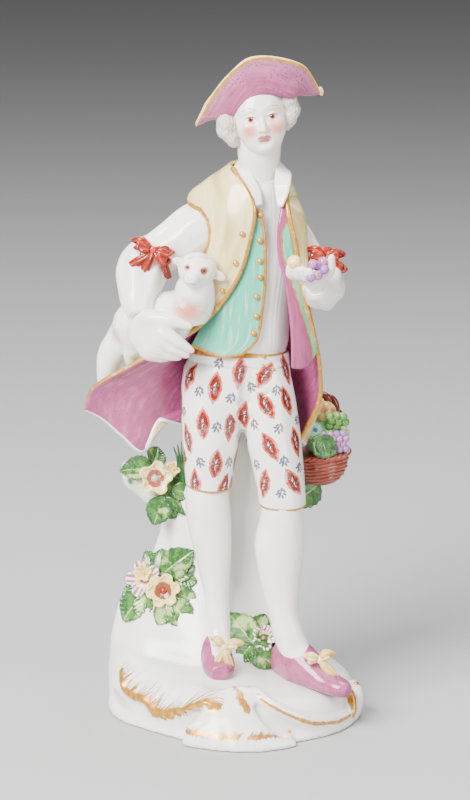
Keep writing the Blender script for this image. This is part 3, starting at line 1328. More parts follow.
def make_sleeve(upper, lower):
    stations = np.array(upper + lower, float)[:, :3]
    sleeve = Field(stations.min(0) - 13, stations.max(0) + 13, SLEEVE_VOXEL)
    sleeve.body(loft(upper, across=Z, sides=110, steps=70, shape=gathers))
    sleeve.body(loft(lower, across=X, sides=110, steps=90, shape=gathers), blend=1.2)
    sleeve.soften()
    shape = sleeve.shape()
    shape.values.update(hollow=sleeve.hollow(shape.points))
    return shape


RIGHT_PALM = [
    (-41, -14.4, 172.6, 5, 4.6), (-37.4, -17.8, 168, 8.4, 4.4), (-31.6, -21, 165.8, 9, 4),
    (-26, -23, 163.4, 6.8, 3.4),
]
# The right thumb and fingers: points and radii
RIGHT_FINGERS = [
    ([(-36, -19.4, 173.6), (-27.4, -24.2, 173.8), (-18.6, -26.4, 171.6)], [3.6, 2.6, 1.5]),
    ([(-30, -23.4, 168.6), (-23.4, -26.2, 165), (-17.6, -26.2, 161.4)], [3, 2.4, 1.3]),
    ([(-31, -23, 164.6), (-25, -24.8, 161.8), (-19.8, -25, 159.2)], [3, 2.4, 1.4]),
    ([(-33, -21.6, 161), (-27.4, -23, 159.2), (-23, -23.2, 158)], [2.9, 2.3, 1.4]),
    ([(-36, -19.4, 159), (-31, -21, 157.6), (-27.6, -21, 157.2)], [2.6, 2, 1.3]),
]
LEFT_PALM = [(33.4, -22.6, 189, 4.2, 4.2), (32.4, -28, 191.2, 5.6, 3.4), (30.6, -33.6, 192.8, 6.2, 2.8)]


def make_right_hand():
    hand = Field((-48, -33, 148), (-11, -8, 182), RIGHT_HAND_VOXEL)
    hand.body(loft(RIGHT_PALM, across=unit(Z + 0.35 * X), sides=72, steps=50, rounded=0.12))
    for finger, sizes in RIGHT_FINGERS:
        hand.chain(finger, sizes, blend=3.4, steps=14)
    hand.soften(3)
    shape = hand.shape()
    groove = np.zeros(len(shape.points))
    flat = shape.points * (1, 0, 1)
    for (a, _), (b, _) in zip(RIGHT_FINGERS[1:], RIGHT_FINGERS[2:]):
        line = (np.array(a) + np.array(b)) / 2 * (1, 0, 1)
        groove += np.exp(-(nearest_on(flat, smooth(line, np.linspace(0, 1, 12)))[1] / 0.6) ** 2)
    shape = shape.pushed(-0.15 * groove * (shape.normals()[:, 1] < -0.2))
    shape.values.update(hollow=hand.hollow(shape.points) + 0.25 * groove)
    return shape


def make_left_hand():
    hand = Field((15, -46, 184), (45, -19, 206), LEFT_HAND_VOXEL)
    hand.body(loft(LEFT_PALM, across=X, sides=64, steps=40, rounded=0.15))
    for i in range(4):
        knuckle = (34 - 3 * i, -33.4 + 0.4 * i, 192.6 + 0.3 * i)
        joint = (31.6 - 3 * i, -38 + 0.7 * i, 193.8 + 0.5 * i)
        tip = (29.8 - 2.5 * i, -40.4 + 0.9 * i, 197 + 0.5 * i)
        hand.chain([knuckle, joint, tip], [2.1, 1.9, 1.4], blend=1.1, steps=12)
    hand.chain([(34.6, -28.6, 192), (38.2, -33, 195.6), (39, -35.2, 201.6)], [2.6, 2.1, 1.4], blend=1.4,
               steps=12)
    hand.soften()
    shape = hand.shape()
    shape.values.update(hollow=hand.hollow(shape.points))
    return shape


def waistcoat_paint(side):
    streaks = [(TEAL, 0.5, 0.8, 0.45), (YELLOW, 0.42, 0.28, 0.25), (GLAZE, 0.46, 0.3, 0.2)]
    paint = cloth_paint("Turquoise waistcoat " + side, TURQUOISE, streaks)
    ragged = paint.ragged(2.6)
    if side == "right":
        paint.near("hem", 0.1, 0.2, PUCE)
        for edge in ("first", "hem"):
            paint.gild(paint.below(paint.plus(paint.value(edge), ragged), GILT_WIDTH, 0.2))
    else:
        strip = paint.value("strip")
        tones = paint.streaks("first", 1.4, "top", 9, 3)
        facing = paint.below(strip, 0)
        paint.over(facing, PUCE)
        paint.over(paint.times(facing, paint.ramp(tones, 0.45, 0.7)), DEEP_PUCE, 0.4)
        paint.gild(paint.below(paint.size_of(paint.plus(strip, ragged)), 0.34, 0.12))
    return paint.done()


# The lamb

LAMB_BODY = [
    (-17, -12, 172, 6, 7), (-22, -11, 172.4, 10.4, 9), (-29, -7.6, 171.6, 10.8, 9.6),
    (-37, -2, 168.6, 10.6, 10.4), (-43, 3, 166.8, 9.4, 9.6), (-47, 7, 165, 5, 6),
]
LAMB_NECK = [
    (-17, -12.6, 172, 6.4, 7), (-17, -15, 178, 8.4, 7.6), (-16.4, -17, 184, 8.2, 7.4),
    (-15.8, -18.4, 190, 7.2, 6.6),
]
LAMB_NEAR_LEG = [
    (-39, -1, 166, 7, 7), (-41.6, -0.6, 159, 5, 5), (-43.8, 1, 154, 3, 3.1), (-43, 3, 149.6, 2.7, 2.8),
    (-42.6, 3, 147.4, 2.4, 2.5),
]
LAMB_FAR_LEG = [
    (-44, 7, 168, 6, 7), (-48.6, 8, 160, 5.6, 6.4), (-52.2, 8.6, 152.6, 5.8, 5.6), (-54, 9, 146, 4.6, 4.6),
    (-55, 9, 140, 3.2, 3), (-55.4, 8.6, 134, 2.8, 2.8),
]
# Places on the lamb's head: eyes with their size, nostrils, mouth, ears with their widths, locks of the crown
LAMB_EYES = [(-19.4, -23.9, 195.6, 0.85), (-12.6, -24.4, 194.2, 1.15)]
LAMB_NOSTRILS = [(-18.8, -29.1, 192.2), (-16.9, -29.1, 192)]
LAMB_MOUTH = [
    (-21.4, -27, 190.6), (-19.6, -28.6, 189.6), (-17.8, -29.6, 189.8), (-15.6, -28.8, 189.2),
    (-13, -26.6, 189.6),
]
LAMB_EARS = [
    ([(-21.4, -18.6, 196.6), (-24, -19, 197.4), (-26, -18.6, 197.2)], (1.6, 1.9, 0.8)),
    ([(-9, -18, 192.4), (-6, -19.4, 191), (-3.6, -19, 189.4)], (1.6, 2.2, 0.8)),
]
LAMB_CROWN = [
    [(-19, -22.4, 199.4), (-15, -22.8, 200.2), (-11.4, -22, 199.2)],
    [(-12, -21, 200), (-9, -20, 197.6)],
    [(-14, -20, 201), (-10, -18, 200)],
]


def make_lamb():
    low, high = (-66, -34, 124), (2, 20, 206)
    fleece = Field(low, high, FLEECE_VOXEL)
    fleece.body(loft(LAMB_BODY, across=Z, rounded=0.1))
    fleece.body(loft(LAMB_NECK, rounded=0.1), blend=5)
    for leg in (LAMB_NEAR_LEG, LAMB_FAR_LEG):
        fleece.body(loft(leg, rounded=0.08), blend=3)
    shape = fleece.shape()
    wool = 0.5 * waves(shape.points, 3.4, seed=3) + 0.35 * waves(shape.points, 1.9, seed=4)
    woolly = step(150, 160, shape.points[:, 2] + 0.3 * np.abs(shape.points[:, 0] + 40))
    shape = shape.pushed(0.4 * wool * woolly)
    fleece = Field(low, high, LAMB_VOXEL)
    fleece.body(shape)
    fleece.oval((-15.4, -18.6, 194), (8, 7, 6.9), blend=2.5)
    fleece.cone((-16.4, -22.6, 192), (-17.6, -26.8, 191.2), 5, 3.1, blend=2)
    fleece.oval((-17.8, -27.2, 191.6), (2.7, 2.2, 1.9), blend=1.2)
    for x, y, z, size in LAMB_EYES:
        fleece.oval((x, y - 0.5, z), (1.5 * size, 1.3, 1.15 * size), blend=0.8, cut=True)
        fleece.oval((x, y + 0.7, z), (1.25 * size, 1.3, 1.05 * size))
        lid = [(x - 1.6 * size, y + 0.3, z + 0.2), (x, y - 0.6, z + 1.35 * size),
               (x + 1.6 * size, y + 0.3, z + 0.2)]
        fleece.chain(lid, [0.4, 0.5, 0.4], blend=0.5)
    for path, width in LAMB_EARS:
        ear = loft([(*p, w, 0.9) for p, w in zip(path, width)], across=Z, sides=40, steps=30, rounded=0.12)
        fleece.body(ear, blend=1)
    fleece.soften()
    shape = fleece.shape()
    points = shape.points
    eyes = np.min([np.linalg.norm(points - (x, y - 0.4, z), axis=1) / size for x, y, z, size in LAMB_EYES],
                  axis=0)
    ears = np.min([nearest_on(points, path)[1] for path, _ in LAMB_EARS], axis=0)
    mouth = nearest_on(points, LAMB_MOUTH)[1]
    nostrils = np.min([np.linalg.norm(points - np.array(p), axis=1) for p in LAMB_NOSTRILS], axis=0)
    crown = np.min([nearest_on(points, line)[1] for line in LAMB_CROWN], axis=0)
    blush = np.linalg.norm((points - (-19.4, -22, 177.4)) / (10.6, 10, 7.6), axis=1)
    rump = np.linalg.norm((points - (-49.6, 2, 163)) / (4.4, 9, 6), axis=1)
    shape.values.update(eye=eyes, ear=ears, mouth=mouth, nostril=nostrils, crown=crown, blush=blush,
                        rump=rump,
                        hollow=fleece.hollow(points))
    return shape


def lamb_paint():
    paint = Paint("Lamb glaze", GLAZE)
    pooled(paint)
    patchy = paint.clouds(5, 0.2, 0.45, 3)
    paint.over(paint.times(paint.ramp(paint.value("blush"), 1.0, 0.2), patchy), ROSE, 0.85)
    paint.over(paint.times(paint.ramp(paint.value("rump"), 1.0, 0.2), patchy), ROSE, 0.6)
    paint.near("ear", 2.2, 1.4, ROSE, 0.35)
    paint.near("crown", 0.7, 0.5, ORANGE_RED, 0.5)
    paint.near("eye", 1.75, 0.4, ROSE, 0.75)
    paint.near("eye", 1.2, 0.2, BROWN, 0.85)
    paint.near("eye", 0.5, 0.15, UMBER)
    paint.near("mouth", 0.32, 0.2, RED, 0.7)
    paint.near("nostril", 0.6, 0.2, RED, 0.75)
    paint.bump(paint.noise(size=1.6, detail=2), 0.1)
    return paint.done()


# The head, in its own frame: halfway down are the eyes, and the face looks along -Y

# Middles of the lips and the line between them
LIP_UPPER = [(-3, -9.8, -8.8), (-1.1, -11.1, -8.1), (0, -11.2, -8.4), (1.1, -11.1, -8.1), (3, -9.8, -8.8)]
LIP_LOWER = [(-2.5, -9.9, -9.2), (0, -11.1, -9.7), (2.5, -9.9, -9.2)]
LIP_PARTING = [(-2.8, -10.2, -9), (-1, -11.7, -8.8), (0, -11.7, -9), (1, -11.7, -8.8), (2.8, -10.2, -9)]


def head_place(points):
    return placed(points, HEAD_CENTRE, roll=HEAD_ROLL, yaw=HEAD_YAW)


def make_head():
    head = Field((-15, -18, -19), (15, 17, 17), HEAD_VOXEL)
    head.oval((0, 1.4, 4), (11.2, 12, 10.4))
    head.oval((0, -2.2, -3.4), (9.9, 9.6, 10.6), blend=4)
    head.oval((0, -4.6, -10.4), (6.9, 5.8, 4.8), blend=4)
    head.oval((0, -8.2, -12.6), (2.8, 2.4, 2.2), blend=2.5)
    for side in (-1, 1):
        head.oval((side * 5.4, -6.6, -5), (4, 3.7, 4.2), blend=3)
        head.oval((side * 4.5, -12.9, -0.5), (2.9, 2.3, 1.9), blend=1.8, cut=True)
    head.chain([(-7.2, -8, 2.6), (-3.6, -10.2, 3.4), (0, -10.6, 2.8), (3.6, -10.2, 3.4), (7.2, -8, 2.6)],
               [0.7, 1, 0.8, 1, 0.7], blend=2.4)
    head.chain([(0, -10.2, 2.4), (0, -11.3, -0.8), (0, -12.9, -4)], [1.0, 1.0, 1.35], blend=1.4)
    head.oval((0, -12.9, -4.8), (1.5, 1.35, 1.2), blend=0.8)
    for side in (-1, 1):
        head.oval((side * 1.6, -11.4, -5.3), (1.05, 1.3, 0.9), blend=0.7)
        head.oval((side * 0.8, -12.6, -6.3), (0.45, 0.6, 0.4), blend=0.3, cut=True)
        head.oval((side * 4.5, -8.5, -0.5), (2.3, 2.3, 2.1), blend=0.25)
        head.chain([(side * 2.1, -10.4, -0.7), (side * 3.4, -11, 0.7), (side * 5, -10.7, 0.9),
                    (side * 6.8, -9.1, -0.3)], [0.3, 0.44, 0.44, 0.3], blend=0.5)
        head.chain([(side * 2.2, -10.3, -0.9), (side * 4.1, -10.7, -2), (side * 6.6, -9.1, -0.8)],
                   [0.25, 0.34, 0.25], blend=0.6)
        head.oval((side * 10.3, 0.4, -1.2), (1.2, 2, 3), blend=0.6)
    head.chain(LIP_UPPER, [0.28, 0.55, 0.5, 0.55, 0.28], blend=0.6, steps=20)
    head.chain(LIP_LOWER, [0.28, 0.7, 0.28], blend=0.6, steps=16)
    head.oval((0, -11.3, -10.9), (2.4, 0.9, 0.7), blend=1.2, cut=True)
    head.soften()
    shape = head.shape()
    x, y, z = shape.points.T
    front = y < -5
    lips = [nearest_on(shape.points, np.array(line) + (0, -0.4, 0))[1] for line in (LIP_UPPER, LIP_LOWER)]
    shape.values.update(
        face_x=np.where(front, np.abs(x), FAR), face_z=np.where(front, z, FAR), lips=np.minimum(*lips),
        parting=nearest_on(shape.points, LIP_PARTING)[1],
        cheek=np.hypot((np.abs(x) - 5.8) / 3.8, (z + 5) / 3.4) + np.where(front, 0, 9),
        hollow=head.hollow(shape.points),
    )
    shape.points = head_place(shape.points)
    return shape


def face_paint():
    """Pale flesh with a painted face: brown eyes, arched brows, red lips and rosy cheeks."""
    paint = Paint("Painted face", FLESH)
    paint.graded("hollow", 0.1, 1.2, ROSE, 0.3)
    paint.graded("cheek", 1.35, 0.2, ROSE, 0.85)
    x, z = paint.value("face_x"), paint.value("face_z")

    def from_eye(across, up, wide, high):
        a = paint.math("DIVIDE", paint.minus(x, across), wide)
        b = paint.math("DIVIDE", paint.minus(z, up), high)
        return paint.math("SQRT", paint.plus(paint.times(a, a), paint.times(b, b)))

    def arc(centre_up, curve, middle, reach, thick):
        """A thin arched stroke over the eye, thinning to its ends."""
        off = paint.minus(x, middle)
        height = paint.times(paint.times(off, off), -curve)
        line = paint.size_of(paint.minus(paint.minus(z, centre_up), height))
        ends = paint.below(paint.size_of(off), reach, 0.5)
        return paint.times(paint.below(line, thick, 0.12), ends)

    paint.over(paint.below(from_eye(4.5, -0.55, 2.3, 1.45), 1.0, 0.08), GLAZE, 0.9)
    paint.over(paint.below(from_eye(4.5, -0.35, 1.2, 1.25), 1.0, 0.12), ROSE, 0.9)
    paint.over(paint.below(from_eye(4.5, -0.35, 0.95, 1.0), 1.0, 0.15), BROWN, 0.9)
    paint.over(paint.below(from_eye(4.5, -0.35, 0.5, 0.55), 1.0, 0.2), UMBER)
    paint.over(paint.below(from_eye(4.1, 0.2, 0.2, 0.22), 1.0, 0.3), GLAZE, 0.7)
    paint.over(arc(0.8, 0.16, 4.5, 2.3, 0.2), BROWN, 0.85)
    paint.over(arc(-2.0, -0.11, 4.5, 1.9, 0.12), ROSE, 0.8)
    paint.over(arc(2.0, 0.1, 4.6, 2.5, 0.1), ROSE, 0.6)
    paint.over(arc(4.0, 0.09, 4.8, 2.9, 0.24), SLATE, 0.5)
    paint.near("lips", 0.72, 0.2, RED, 0.85)
    paint.near("parting", 0.2, 0.12, DARK_RED, 0.7)
    return paint.done()


# Curls at the temples in the head's frame: x, y, z and radius, and the queue behind
HAIR_CURLS = [
    (-11.4, 5.4, 3.4, 2.4), (-13.8, 2, 1.4, 2.6), (-14.2, 1.5, -1.4, 3), (-14.8, 2, -5, 2.7),
    (-11.6, 3, -9.6, 2.3), (-12.6, 2.4, -7.6, 2.2), (11.8, 1, 5, 2.4), (13, 0.6, 4, 2.8),
    (13.8, 1.5, 0, 3), (12.2, 2, -3.4, 2.7),
]
QUEUE = [
    (0, 10, -4, 5.4, 4.4), (0, 12, -10, 4, 3.6), (0, 12.4, -15, 2.6, 2.6), (0, 13, -21, 3.6, 3),
    (0, 14, -29, 2.4, 2), (0, 14, -33, 1, 1),
]


def make_hair():
    hair = Field((-21, -13, -37), (21, 20, 16), HAIR_VOXEL)
    hair.oval((0, 4.8, 1.4), (12, 10.4, 12))
    for side in (-1, 1):
        hair.oval((side * 10.9, 2.2, -2.8), (2.7, 5.6, 6), blend=1.5)
    for x, y, z, r in HAIR_CURLS:
        inward = -1 if x > 0 else 1
        roll = [(x, y - 7, z, 0.55 * r, 0.55 * r), (x, y - 4, z, r, r), (x, y + 2, z, 1.05 * r, 1.05 * r),
                (x + 2.5 * inward, y + 7.5, z, 0.9 * r, 0.9 * r)]
        hair.body(loft(roll, sides=60, steps=40, rounded=0.2), blend=2.4)
    locks = lambda angle, t: 1 + 0.05 * np.sin(9 * angle + 10 * t) + 0.03 * np.sin(16 * angle - 7 * t)
    hair.body(loft(QUEUE, sides=72, steps=80, shape=locks), blend=1.5)
    hair.soften()
    shape = hair.shape()
    points = shape.points
    x, y, z = points.T
    curls = np.array(HAIR_CURLS)
    offset = points[:, None, [0, 2]] - curls[None, :, [0, 2]]
    away = np.linalg.norm(offset, axis=2) / curls[:, 3]
    nearest = np.argmin(away, axis=1)
    own = offset[np.arange(len(points)), nearest]
    out = np.linalg.norm(own, axis=1)
    spiral = np.arctan2(own[:, 1], own[:, 0] * np.sign(x))
    wander = 0.5 * waves(points, 5, seed=8)
    curled = np.sin(TAU * (0.8 * out + 0.9 * y + 1.4 * wander) / 1.7 + spiral)
    combed = np.sin(TAU * (x + 0.25 * z + wander) / 1.5)
    on_curl = step(1.5, 1.1, away.min(axis=1))
    strand = curled * on_curl + combed * (1 - on_curl)
    shape = shape.pushed(0.2 * strand + 0.3 * waves(points, 4, seed=9))
    shape.values.update(hollow=hair.hollow(points), strand=strand)
    shape.points = head_place(shape.points)
    return shape


# The hat

# The brim's edge all round: direction in degrees, reach, rise, and the felt's dip before it turns up
BRIM = [
    (-180, 28.9, -6.4, 2), (-166, 26, -1.6, 4.4), (-154, 23.4, 3.4, 6), (-135, 19.2, 10, 6),
    (-105, 15.9, 15.4, 1.5), (-83, 15.6, 16.4, 0), (-58, 17.2, 14.6, 4), (-37, 20.2, 11, 7),
    (-22, 22.6, 6.4, 6), (-11, 23.6, -0.4, 5), (0, 24, -6.4, 3.2), (20, 20, -0.6, 4), (45, 16.5, 3, 4),
    (70, 20, 1, 3), (90, 26, -5, 0), (110, 20, 1, 3), (135, 16.5, 3, 4), (160, 21.6, -1.5, 4.4),
    (180, 28.9, -6.4, 2),
]


def brim_edge(angle):
    """Reach, rise and dip of the brim in each direction."""
    table = smooth(BRIM, np.linspace(0, 1, 217))
    turned = np.mod(angle + math.pi, TAU) - math.pi
    return [np.interp(turned, np.radians(table[:, 0]), table[:, k]) for k in (1, 2, 3)]


def make_hat():
    angle = np.linspace(0, TAU, 176, endpoint=False) + 0.003
    reach, rise, dip = brim_edge(angle)
    tip = step(18, 25, reach)

    def brim(v, inset, lift=0.0):
        out = HAT_CROWN + (reach - HAT_CROWN) * v ** 0.85 - inset * (1 - tip)
        sag = dip * np.sin(math.pi * v ** (0.8 + 0.1 * tip))
        return out, rise * v ** 1.35 - sag + inset * tip + lift * (1 - tip)

    rings = []

    def add(out, height, edge, under):
        rings.append((out + 0 * angle, height + 0 * angle, edge, under))

    for share in np.linspace(0.06, 1, 14):
        dome = share * math.pi / 2
        add(HAT_CROWN * 0.82 * math.sin(dome), 9.4 * math.cos(dome) ** 0.7, FAR, 0)
    for v in np.linspace(0, 1, 20):
        add(*brim(v, HAT_FELT), 1 - v, 0)
    for k in range(1, 6):
        bend = math.pi * k / 6
        add(*brim(1, HAT_FELT * (0.5 + 0.5 * math.cos(bend)), 0.65 * math.sin(bend)), 0, k / 6)
    for v in np.linspace(1, 0, 46):
        add(*brim(v, 0), 1 - v, 1)
    for share in np.linspace(0.92, 0.1, 8):
        add(HAT_CROWN * share, -1.2 * (1 - share), FAR, 1)
    rings.reverse()
    out, height, edge, under = (np.array(column) for column in zip(*rings))
    points = np.stack([out * np.cos(angle), out * np.sin(angle), height], -1)
    span = np.hypot(reach - HAT_CROWN, np.abs(rise) + dip)
    around = np.degrees(np.where(angle > math.pi, angle - TAU, angle)) * 0.3
    distance = np.minimum(edge[:, None] * span[None, :], FAR)
    shape = closed(points, edge=distance, under=under[:, None], around=around[None, :])
    worn = 0.22 * waves(shape.points, 9, seed=5)
    shape = shape.pushed(worn * step(0, 3, shape.values["edge"]))
    knob = ball((24.4, 0.2, -5.4), (1.2, 1.6, 1.9), sides=32, rings=20)
    knob.values = {name: np.zeros(len(knob.points)) for name in shape.values}
    shape = joined([shape, knob])
    shape.points = placed(shape.points, HAT_CENTRE, roll=HAT_ROLL)
    return shape


def hat_paint():
    """Puce brushed along the brim, deep below and pale above, with specks, a straw rim and a gilt line."""
    paint = Paint("Puce hat", PUCE)
    edge, around = paint.value("edge"), paint.value("around")
    down = paint.math("DIVIDE", paint.math("MINIMUM", edge, 20), 1.3)
    strokes = paint.noise(vector=paint.vector(paint.math("DIVIDE", around, 9), down), detail=4)
    wash = paint.noise(size=12, detail=2)
    high = paint.ramp(paint.plus(edge, paint.times(wash, 10)), 13, 6)
    paint.over(high, PALE_PUCE, 0.5)
    paint.over(paint.ramp(strokes, 0.5, 0.72), DEEP_PUCE, 0.5)
    paint.over(paint.ramp(strokes, 0.48, 0.3), PALE_PUCE, 0.4)
    paint.over(paint.ramp(paint.plus(edge, paint.times(wash, 6)), 13, 20), DEEP_PUCE, 0.45)
    paint.over(paint.speckles(1.1, 0.3), DEEP_PUCE, 0.75)
    outer = paint.ramp(paint.value("under"), 0.7, 0.8)
    paint.over(paint.below(edge, 0.3, 0.1), PALE_GOLD, 0.95)
    ragged = paint.ragged(3)
    line = paint.size_of(paint.minus(paint.plus(edge, ragged), 0.55))
    paint.gild(paint.times(paint.below(line, 0.38, 0.14), outer))
    return paint.done()


# The basket and its fruit

def loop_faces(steps, sides):
    """Faces of a closed tube of steps rings."""
    index = np.arange(steps * sides).reshape(steps, sides)
    nxt = np.roll(index, -1, 0)
    return np.stack([index, np.roll(index, -1, 1), np.roll(nxt, -1, 1), nxt], -1).reshape(-1, 4)


def twisted_ring(t, phase):
    """One strand of the basket's rim, for t from 0 to 1 all round."""
    twist = 14 * TAU * t + phase
    out = BASKET_RADIUS + 0.7 + 0.5 * np.cos(twist)
    return np.stack([out * np.cos(TAU * t), out * np.sin(TAU * t), 0.6 + 0.5 * np.sin(twist)], -1)


def ring_tube(path, radius, steps=240, sides=8):
    """A tube round a closed path, which path gives for t from 0 to 1."""
    t = np.arange(steps) / steps
    middle = path(t)
    along = unit(path(t + 1e-4) - path(t - 1e-4))
    side = unit(np.cross(along, Z))
    other = np.cross(side, along)
    angle = np.linspace(0, TAU, sides, endpoint=False)[None, :, None]
    rings = middle[:, None] + radius * (side[:, None] * np.cos(angle) + other[:, None] * np.sin(angle))
    return Shape(rings.reshape(-1, 3), [loop_faces(steps, sides)], bulge=np.ones(steps * sides))


def make_basket():
    angle = np.linspace(0, TAU, 224, endpoint=False)[None, :]
    level = np.linspace(0.05, 1, 72)[:, None]
    turned = level * math.pi / 2
    radius = BASKET_RADIUS * np.sin(turned) ** 0.8
    height = -BASKET_DEPTH * np.cos(turned)
    strands = 8
    row = (height + BASKET_DEPTH) / BASKET_DEPTH * strands + 0.3 * np.sin(2 * angle)
    bulge = np.abs(np.sin(math.pi * row)) ** 0.6
    over_under = np.cos(5 * angle + math.pi * np.floor(row))
    out = radius + (0.75 * bulge + 0.16 * over_under * bulge) * step(0.1, 0.3, level)
    rings = np.stack([out * np.cos(angle), out * np.sin(angle), height + 0 * angle], -1)
    inner = np.linspace(1, 0.1, 14)[:, None]
    reach = (BASKET_RADIUS + 0.4) * inner
    lid = np.stack([reach * np.cos(angle), reach * np.sin(angle), 1.0 + 1.2 * (1 - inner) + 0 * angle], -1)
    bowl = closed(np.concatenate([rings, lid]), bulge=np.concatenate([bulge, np.ones((14, angle.size))]))
    twists = [ring_tube(lambda t, p=phase: twisted_ring(t, p), 0.8) for phase in (0, math.pi)]
    basket = joined([bowl, *twists])
    basket.points = placed(basket.points, BASKET_CENTRE, roll=BASKET_ROLL)
    return basket


def make_handle():
    x, y, z = BASKET_CENTRE
    path = [(x - 4, y + 6, z + 5), (x - 3, y + 3, z + 15), (x - 1, y + 2, z + 23), (x + 4, y + 2, z + 23.6),
            (x + 8, y + 4, z + 16), (x + 9.6, y + 5, z + 8)]
    strands = []
    t = np.linspace(0, 1, 60)
    middle = smooth(path, t)
    along = unit(np.gradient(middle, axis=0))
    side = unit(np.cross(along, Y))
    other = np.cross(along, side)
    for phase in (0, math.pi):
        twist = 6 * math.pi * t + phase
        line = middle + 1.1 * (side * np.cos(twist)[:, None] + other * np.sin(twist)[:, None])
        strands.append(rod(line, np.full(60, 1.5), sides=16, steps=110, rounded=0.02))
    return joined(strands)


def grapes(centres, radius):
    return joined([ball(c, (radius,) * 3, sides=20, rings=14) for c in centres])


# Bows, buttons, leaves and flowers

def ribbon(path, width):
    """A pleated ribbon along a path, each point with its own width, spread across the path and facing -Y."""
    path = np.asarray(path, float)
    across = unit(np.cross(unit(np.gradient(path, axis=0)), Y))
    rows = [[p - a * w / 2, p + (0, -0.25 * w, 0), p + a * w / 2] for p, a, w in zip(path, across, width)]
    folds = lambda u, v: np.sin(5 * math.pi * u + 2 * v)
    pleats = lambda u, v: 0.42 * folds(u, v) * np.sin(math.pi * np.clip(v, 0.05, 1)) ** 0.5
    shape = drape(rows, across=22, down=26, thickness=0.9, ripple=pleats, rim=SHEET_RIM)
    v = shape.values
    u = v["first"] / np.maximum(v["first"] + v["last"], 1e-6)
    shape.values = {"pleat": folds(u, v["top"] / np.maximum(v["top"] + v["hem"], 1e-6))}
    return shape


def unpleated(shape):
    """A knot or band of plain ribbon."""
    return Shape(shape.points, shape.faces, pleat=np.full(len(shape.points), 0.2))


# Bows: centre, size, and how far across and up each loop and each tail reaches
BOWS = {
    "Right arm bow": ((-33.8, -11.2, 200.8), 1.0, [(-6.8, 4), (7, -1), (5.6, -5), (-5.8, 0.8)],
                      [(-8.6, -6.6), (-4, -9.6)]),
    "Left arm bow": ((38.2, -6.4, 196.2), 1.05, [(-6.4, 4), (5.8, -4.4), (4.6, 2), (-4, 0.4)], [(3.6, -7.4)]),
    "Right shoe bow": ((-4.6, -24.8, 34.8), 0.95, [(-4.2, 3.8), (6.4, 1.6)], [(-3.8, -9.8), (2.2, -9.4)]),
    "Left shoe bow": ((35.6, -28.6, 30.2), 0.98, [(-5.6, 1.4), (3.8, 3)], [(8, -10.4), (4.8, -6.4)]),
}
RIGHT_ARM_RIBBON = [(-32.6, -11.6, 199.4), (-30.2, -11, 195.6), (-28.6, -8.8, 191.6), (-27.8, -5, 187.8)]
# Ribbon round the left arm: its middle, the arm's direction there, and its radius
ARM_BAND = ((33.4, 2, 193.6), (5, -3, -6), 8.2)


def make_bow(centre, size, loops, tails):
    """A ribbon bow facing -Y. loops and tails hold, for each, how far across and up it reaches."""
    shapes = []
    for x, z in loops:
        side = math.copysign(1, x)
        out = [(side * 0.4, -0.8, 0.1), (0.42 * x, -2.2, 0.5 * z + 0.3), (0.8 * x, -2, 0.9 * z),
               (x, -0.5, z), (0.8 * x, 0.8, 0.8 * z)]
        shapes.append(ribbon(out, (1.6, 3.4, 4.4, 4.2, 3.0)))
    for x, z in tails:
        fall = [(0.05 * x, -1, -0.2), (0.3 * x, -1.9, 0.33 * z), (0.7 * x, -1.5, 0.66 * z), (x, -0.6, z)]
        shapes.append(ribbon(fall, (1.4, 2.5, 3.1, 3.6)))
    shapes.append(unpleated(ball((0, -1.7, 0.1), (1.6, 1.3, 1.7), sides=24, rings=14)))
    return joined(shapes).placed(centre, size=size)


def make_band(centre, axis, radius, half_width=1.0, thickness=0.6, steps=120, sides=16):
    """A flat ribbon tied round an arm."""
    axis = unit(np.array(axis, float))
    first = unit(np.cross(axis, Y))
    second = np.cross(axis, first)
    turned = np.linspace(0, TAU, steps, endpoint=False)[:, None, None]
    round_it = np.linspace(0, TAU, sides, endpoint=False)[None, :, None]
    out = first * np.cos(turned) + second * np.sin(turned)
    uneven = 1 + 0.2 * np.sin(3 * turned)
    rings = (np.asarray(centre) + out * (radius + thickness * np.cos(round_it))
             + axis * half_width * uneven * np.sin(round_it))
    return Shape(rings.reshape(-1, 3), [loop_faces(steps, sides)])


# Proportions of a leaf: half width, teeth on a side, how far its tip curls, and half its thickness
LEAF_WIDTH = 0.42
LEAF_TEETH = 6
LEAF_CURL = 0.18
LEAF_HALF = 0.45


def make_leaf(centre, normal, spin, length):
    """A serrated leaf lying on a surface, with its stalk end at centre. spin turns it in its own plane."""
    across = np.linspace(-1, 1, 17)[None, :]
    along = np.linspace(0, 1, 47)[:, None]
    saw = np.abs(np.mod(LEAF_TEETH * along + 0.3 * np.abs(across), 1) - 0.15)
    swell = np.sin(math.pi * np.clip(along, 0.02, 0.98) ** 0.85) ** 0.75
    half = length * LEAF_WIDTH * swell * (1 + 0.14 * saw * np.abs(across) ** 3)
    x = across * half
    z = along * length - 0.1 * length * np.abs(across) * (1 - along)
    cup = 0.24 * half * across ** 2 - LEAF_CURL * length * along ** 2 * 0.5
    vein_phase = np.mod((along * length - 0.7 * np.abs(x)) / (length / 6.5), 1)
    vein = 0.8 * np.exp(-((vein_phase - 0.5) / 0.09) ** 2)
    rib = np.exp(-(x / (0.035 * length)) ** 2)
    y = -cup - 0.3 * np.abs(across) * np.cos(TAU * vein_phase) * 0.5 + 0.25 * rib
    shape = sheet(np.stack(np.broadcast_arrays(x, -1.2 + y, z), -1), LEAF_HALF, SHEET_RIM)
    value = np.maximum(vein, 1.2 * rib).reshape(-1)
    shape.values["vein"] = np.concatenate([value, np.zeros(len(shape.points) - len(value))])
    return seated(shape, centre, normal, spin)


